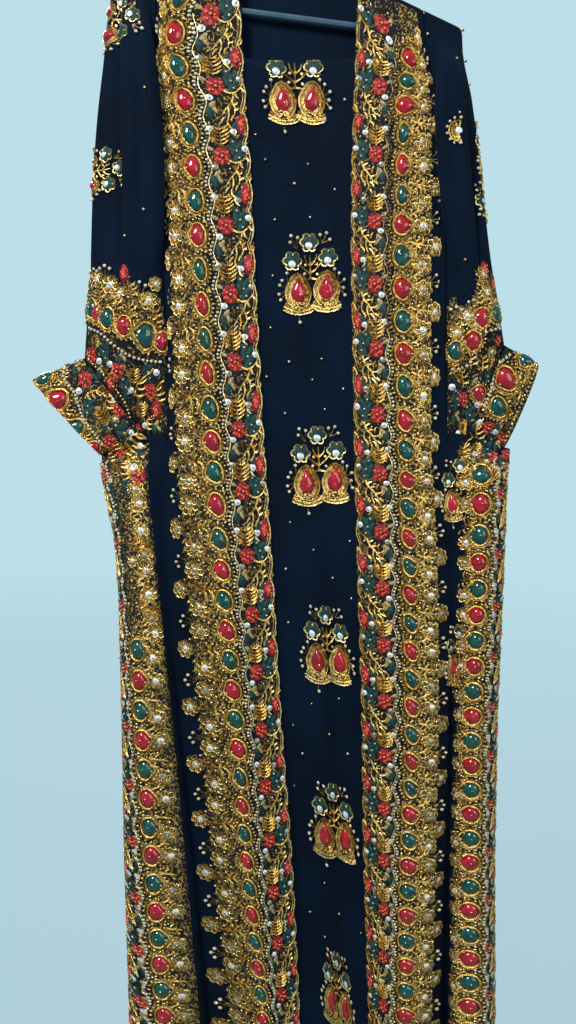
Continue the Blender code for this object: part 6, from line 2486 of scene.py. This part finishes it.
class Motifs(Workshop):
    """The single motifs and the beads scattered over the plain cloth."""

    CENTERS = ((-1, -218), (18, -448), (29, -687), (38, -916), (47, -1148), (52, -1376))
    LEANS = ((1.0, 0.10), (1.0, 0.0), (1.0, 0.03), (0.84, 0.22), (0.80, 0.36), (0.60, 0.55))
    BACK = ((0, -330), (-62, -560), (66, -620), (0, -800), (-70, -1040), (70, -1080),
            (0, -1290))
    NECK_CUT = -30.0
    # Spacing of the scattered beads, across and down, in millimetres
    BEAD_PITCH = 48.0
    ROW_PITCH = 34.0
    # Room kept free round a motif, across and down
    CLEAR = (50, 62)
    # Furthest that a bead may land from its place, in metres
    MISS = 0.007

    def build(self) -> None:
        """Works every motif and bead."""
        panels = self.panels
        for n, ((x, z), (narrow, lean)) in enumerate(zip(self.CENTERS, self.LEANS)):
            work = Handwork(f"motif_stitching_{n + 1}", self.palette)
            patch = Patch(panels.center, x * MM, z * MM, narrow=narrow, lean=lean)
            Needle(work, patch, self.stamps).motif(self.NECK_CUT if n == 0 else -99.0)
            work.build(f"motif_{n + 1}")
        work = Handwork("side_motifs", self.palette)
        left, right = panels.sleeves[Side.LEFT], panels.sleeves[Side.RIGHT]
        for sheet, x, z, front, columns, turn, shift, aside in (
                (panels.fronts[Side.RIGHT], 207, -716, True, (3.0, 5.0), 0.0, 0, 1.0),
                (panels.fronts[Side.RIGHT], 206, -926, True, (3.0, 5.0), 0.0, 0, 1.0),
                (left, -247, -323, True, (5.0, 7.3), 1.57, 10, 99.0),
                (left, -226, -146, True, (3.0, 7.3), 1.57, 0, 99.0),
                (right, 232, -349, True, (4.0, 7.3), -1.57, 36, 99.0),
                (left, -225, -290, False, (8.0, 12.0), 0.0, 0, 99.0),
                (right, 205, -300, False, (8.0, 12.0), 0.0, 0, 99.0)):
            patch = Patch(sheet, x * MM, z * MM, front, columns)
            needle = Needle(work, patch, self.stamps, turn=turn, size=0.8).at(0, shift)
            needle.motif(aside=aside)
        patch = Patch(right, 0.190, -0.278, True, (1.0, 4.0))
        Needle(work, patch, self.stamps, size=0.95).half_flower()
        work.build()
        work = Handwork("back_motifs", self.palette)
        for x, z in self.BACK:
            patch = Patch(panels.back, x * MM, z * MM, False)
            Needle(work, patch, self.stamps).motif()
        work.build()
        self.scatter()

    def scatter(self) -> None:
        """Single beads all over the plain cloth, in a loose staggered order."""
        chance = random.Random(71)
        work = Handwork("scattered_beads", self.palette)
        panels = self.panels
        left, right = panels.sleeves[Side.LEFT], panels.sleeves[Side.RIGHT]
        fields = (
            (panels.center, True, (1.8, 6.2), (-110, 130, -1575, -205), self.CENTERS),
            (panels.back, False, (3.2, 10.8), (-170, 175, -1575, -165), self.BACK),
            (left, True, (0.0, 7.2), (-262, -172, -432, -130), ((-243, -323), (-226, -146))),
            (left, False, (7.8, 12.0), (-262, -172, -432, -130), ((-225, -290),)),
            (right, True, (0.0, 7.2), (160, 240, -432, -150), ((250, -349), (190, -278))),
            (right, False, (7.8, 12.0), (180, 235, -432, -150), ((205, -300),)),
        )
        for sheet, front, columns, (x0, x1, z0, z1), avoid in fields:
            for row, z in enumerate(np.arange(z1, z0, -self.ROW_PITCH)):
                for x in np.arange(x0 + (row % 2) * self.BEAD_PITCH / 2, x1, self.BEAD_PITCH):
                    spot = (x + chance.uniform(-9, 9), z + chance.uniform(-8, 8))
                    finish = chance.choice((PALE, PEARL, PALE))
                    if any(abs(spot[0] - a) < self.CLEAR[0] and abs(spot[1] - b) < self.CLEAR[1]
                           for a, b in avoid):
                        continue
                    patch = Patch(sheet, spot[0] * MM, spot[1] * MM, front, columns)
                    if math.hypot(patch.spot[0] - spot[0] * MM,
                                  patch.spot[2] - spot[1] * MM) > self.MISS:
                        continue
                    needle = Needle(work, patch, self.stamps)
                    needle.put(self.stamps.bead, 0, 0, finish, size=chance.uniform(0.9, 1.15))
        work.build()


class Studio:
    """Floor, light and camera."""

    PALE_BLUE = (0.509, 0.737, 0.815, 1.0)
    WARM_WHITE = (1.0, 0.97, 0.92)
    FLOOR_Z = -1.75
    # Strength of the light that the room and its floor cast
    ROOM_CAST = 0.42
    FLOOR_CAST = 0.30
    CAMERA_AT = (-0.015, -1.304, -0.619)
    CAMERA_DOWN = math.radians(5.4)
    # Each lamp's name, place, aim, size and power
    LAMPS = (
        ("key light", (-1.3, -2.2, 1.3), (0.0, 0.0, -0.6), 0.9, 98.0),
        ("fill light", (1.9, -1.9, 0.1), (0.0, 0.0, -0.6), 1.6, 20.0),
        ("back light", (-0.6, 2.4, 0.8), (0.0, 0.0, -0.7), 2.0, 55.0),
    )

    def darker_near(self, tree: Tree) -> Socket:
        """How bright the floor is seen: painted shade, darker near the garment and to its left.

        Args:
            tree: The floor's node tree.

        Returns:
            The socket that gives the strength.
        """
        place = add_node(tree, "TexCoord", "Object", {})
        way = add_node(tree, "VectorMath", "Value", {0: place, 1: (-0.9, -0.6, self.FLOOR_Z)},
                       operation="DISTANCE")
        return add_node(tree, "MapRange", "Result",
                        {"Value": way, "From Min": 0.2, "From Max": 8.0, "To Min": 0.745,
                         "To Max": 0.97}, interpolation_type="SMOOTHSTEP")

    @staticmethod
    def seen_brighter(tree: Tree, cast: float, seen: Socket | float = 1.0) -> Socket:
        """Lets the pale room look bright while it casts less light on the garment.

        Args:
            tree: The node tree of the room or its floor.
            cast: Strength of the light that it casts.
            seen: Strength at which it is seen.

        Returns:
            The socket that gives the strength.
        """
        path = add_node(tree, "LightPath", "Is Camera Ray", {})
        return add_node(tree, "MapRange", "Result",
                        {"Value": path, "To Min": cast, "To Max": seen})

    def build(self) -> None:
        """Sets up the pale room, its lamps and the camera."""
        scene = bpy.context.scene
        scene.world = bpy.data.worlds.new("pale room")
        scene.world.use_nodes = True
        tree = scene.world.node_tree
        feed(tree, tree.nodes["Background"],
             {"Color": self.PALE_BLUE, "Strength": self.seen_brighter(tree, self.ROOM_CAST)})
        scene.view_settings.view_transform = "Standard"
        mesh = bmesh.new()
        bmesh.ops.create_grid(mesh, x_segments=1, y_segments=1, size=20.0)
        bmesh.ops.translate(mesh, vec=(0, 0, self.FLOOR_Z), verts=mesh.verts)
        floor = object_from(mesh, "floor")
        mat = bpy.data.materials.new("pale floor")
        mat.use_nodes = True
        tree = mat.node_tree
        feed(tree, tree.nodes["Principled BSDF"], {
            "Base Color": (0.05, 0.07, 0.08, 1.0), "Roughness": 0.9, "Specular IOR Level": 0.0,
            "Emission Color": self.PALE_BLUE,
            "Emission Strength": self.seen_brighter(tree, self.FLOOR_CAST, self.darker_near(tree))})
        floor.data.materials.append(mat)
        for name, place, aim, size, power in self.LAMPS:
            lamp = bpy.data.lights.new(name, "AREA")
            lamp.size, lamp.energy = size, power
            lamp.color = self.WARM_WHITE
            thing = bpy.data.objects.new(name, lamp)
            thing.location = place
            way = Vector(aim) - Vector(place)
            thing.rotation_euler = way.to_track_quat("-Z", "Y").to_euler()
            scene.collection.objects.link(thing)
        camera = bpy.data.objects.new("camera", bpy.data.cameras.new("camera"))
        camera.data.lens, camera.data.sensor_width = 36.0, 36.0
        camera.location = self.CAMERA_AT
        camera.rotation_euler = (math.pi / 2 - self.CAMERA_DOWN, 0.0, 0.0)
        scene.collection.objects.link(camera)
        scene.camera = camera


def main() -> None:
    """Builds the garment piece by piece."""
    logging.basicConfig(level=logging.INFO, format="%(message)s")
    palette = Palette()
    stamps = Stamps()
    panels = Panels(palette)
    panels.build()
    for sizes, sheet in border_sizes(panels):
        Border(sizes, sheet, stamps, palette).build()
    Sleeves(panels, stamps, palette).build()
    Motifs(panels, stamps, palette).build()
    for node, finish in (("hanger_frame", "slate plastic"), ("hanger_hook", "hook steel")):
        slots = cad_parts[node].data.materials
        slots.clear()
        slots.append(palette[finish])
    Studio().build()


if __name__ == "__main__":
    main()
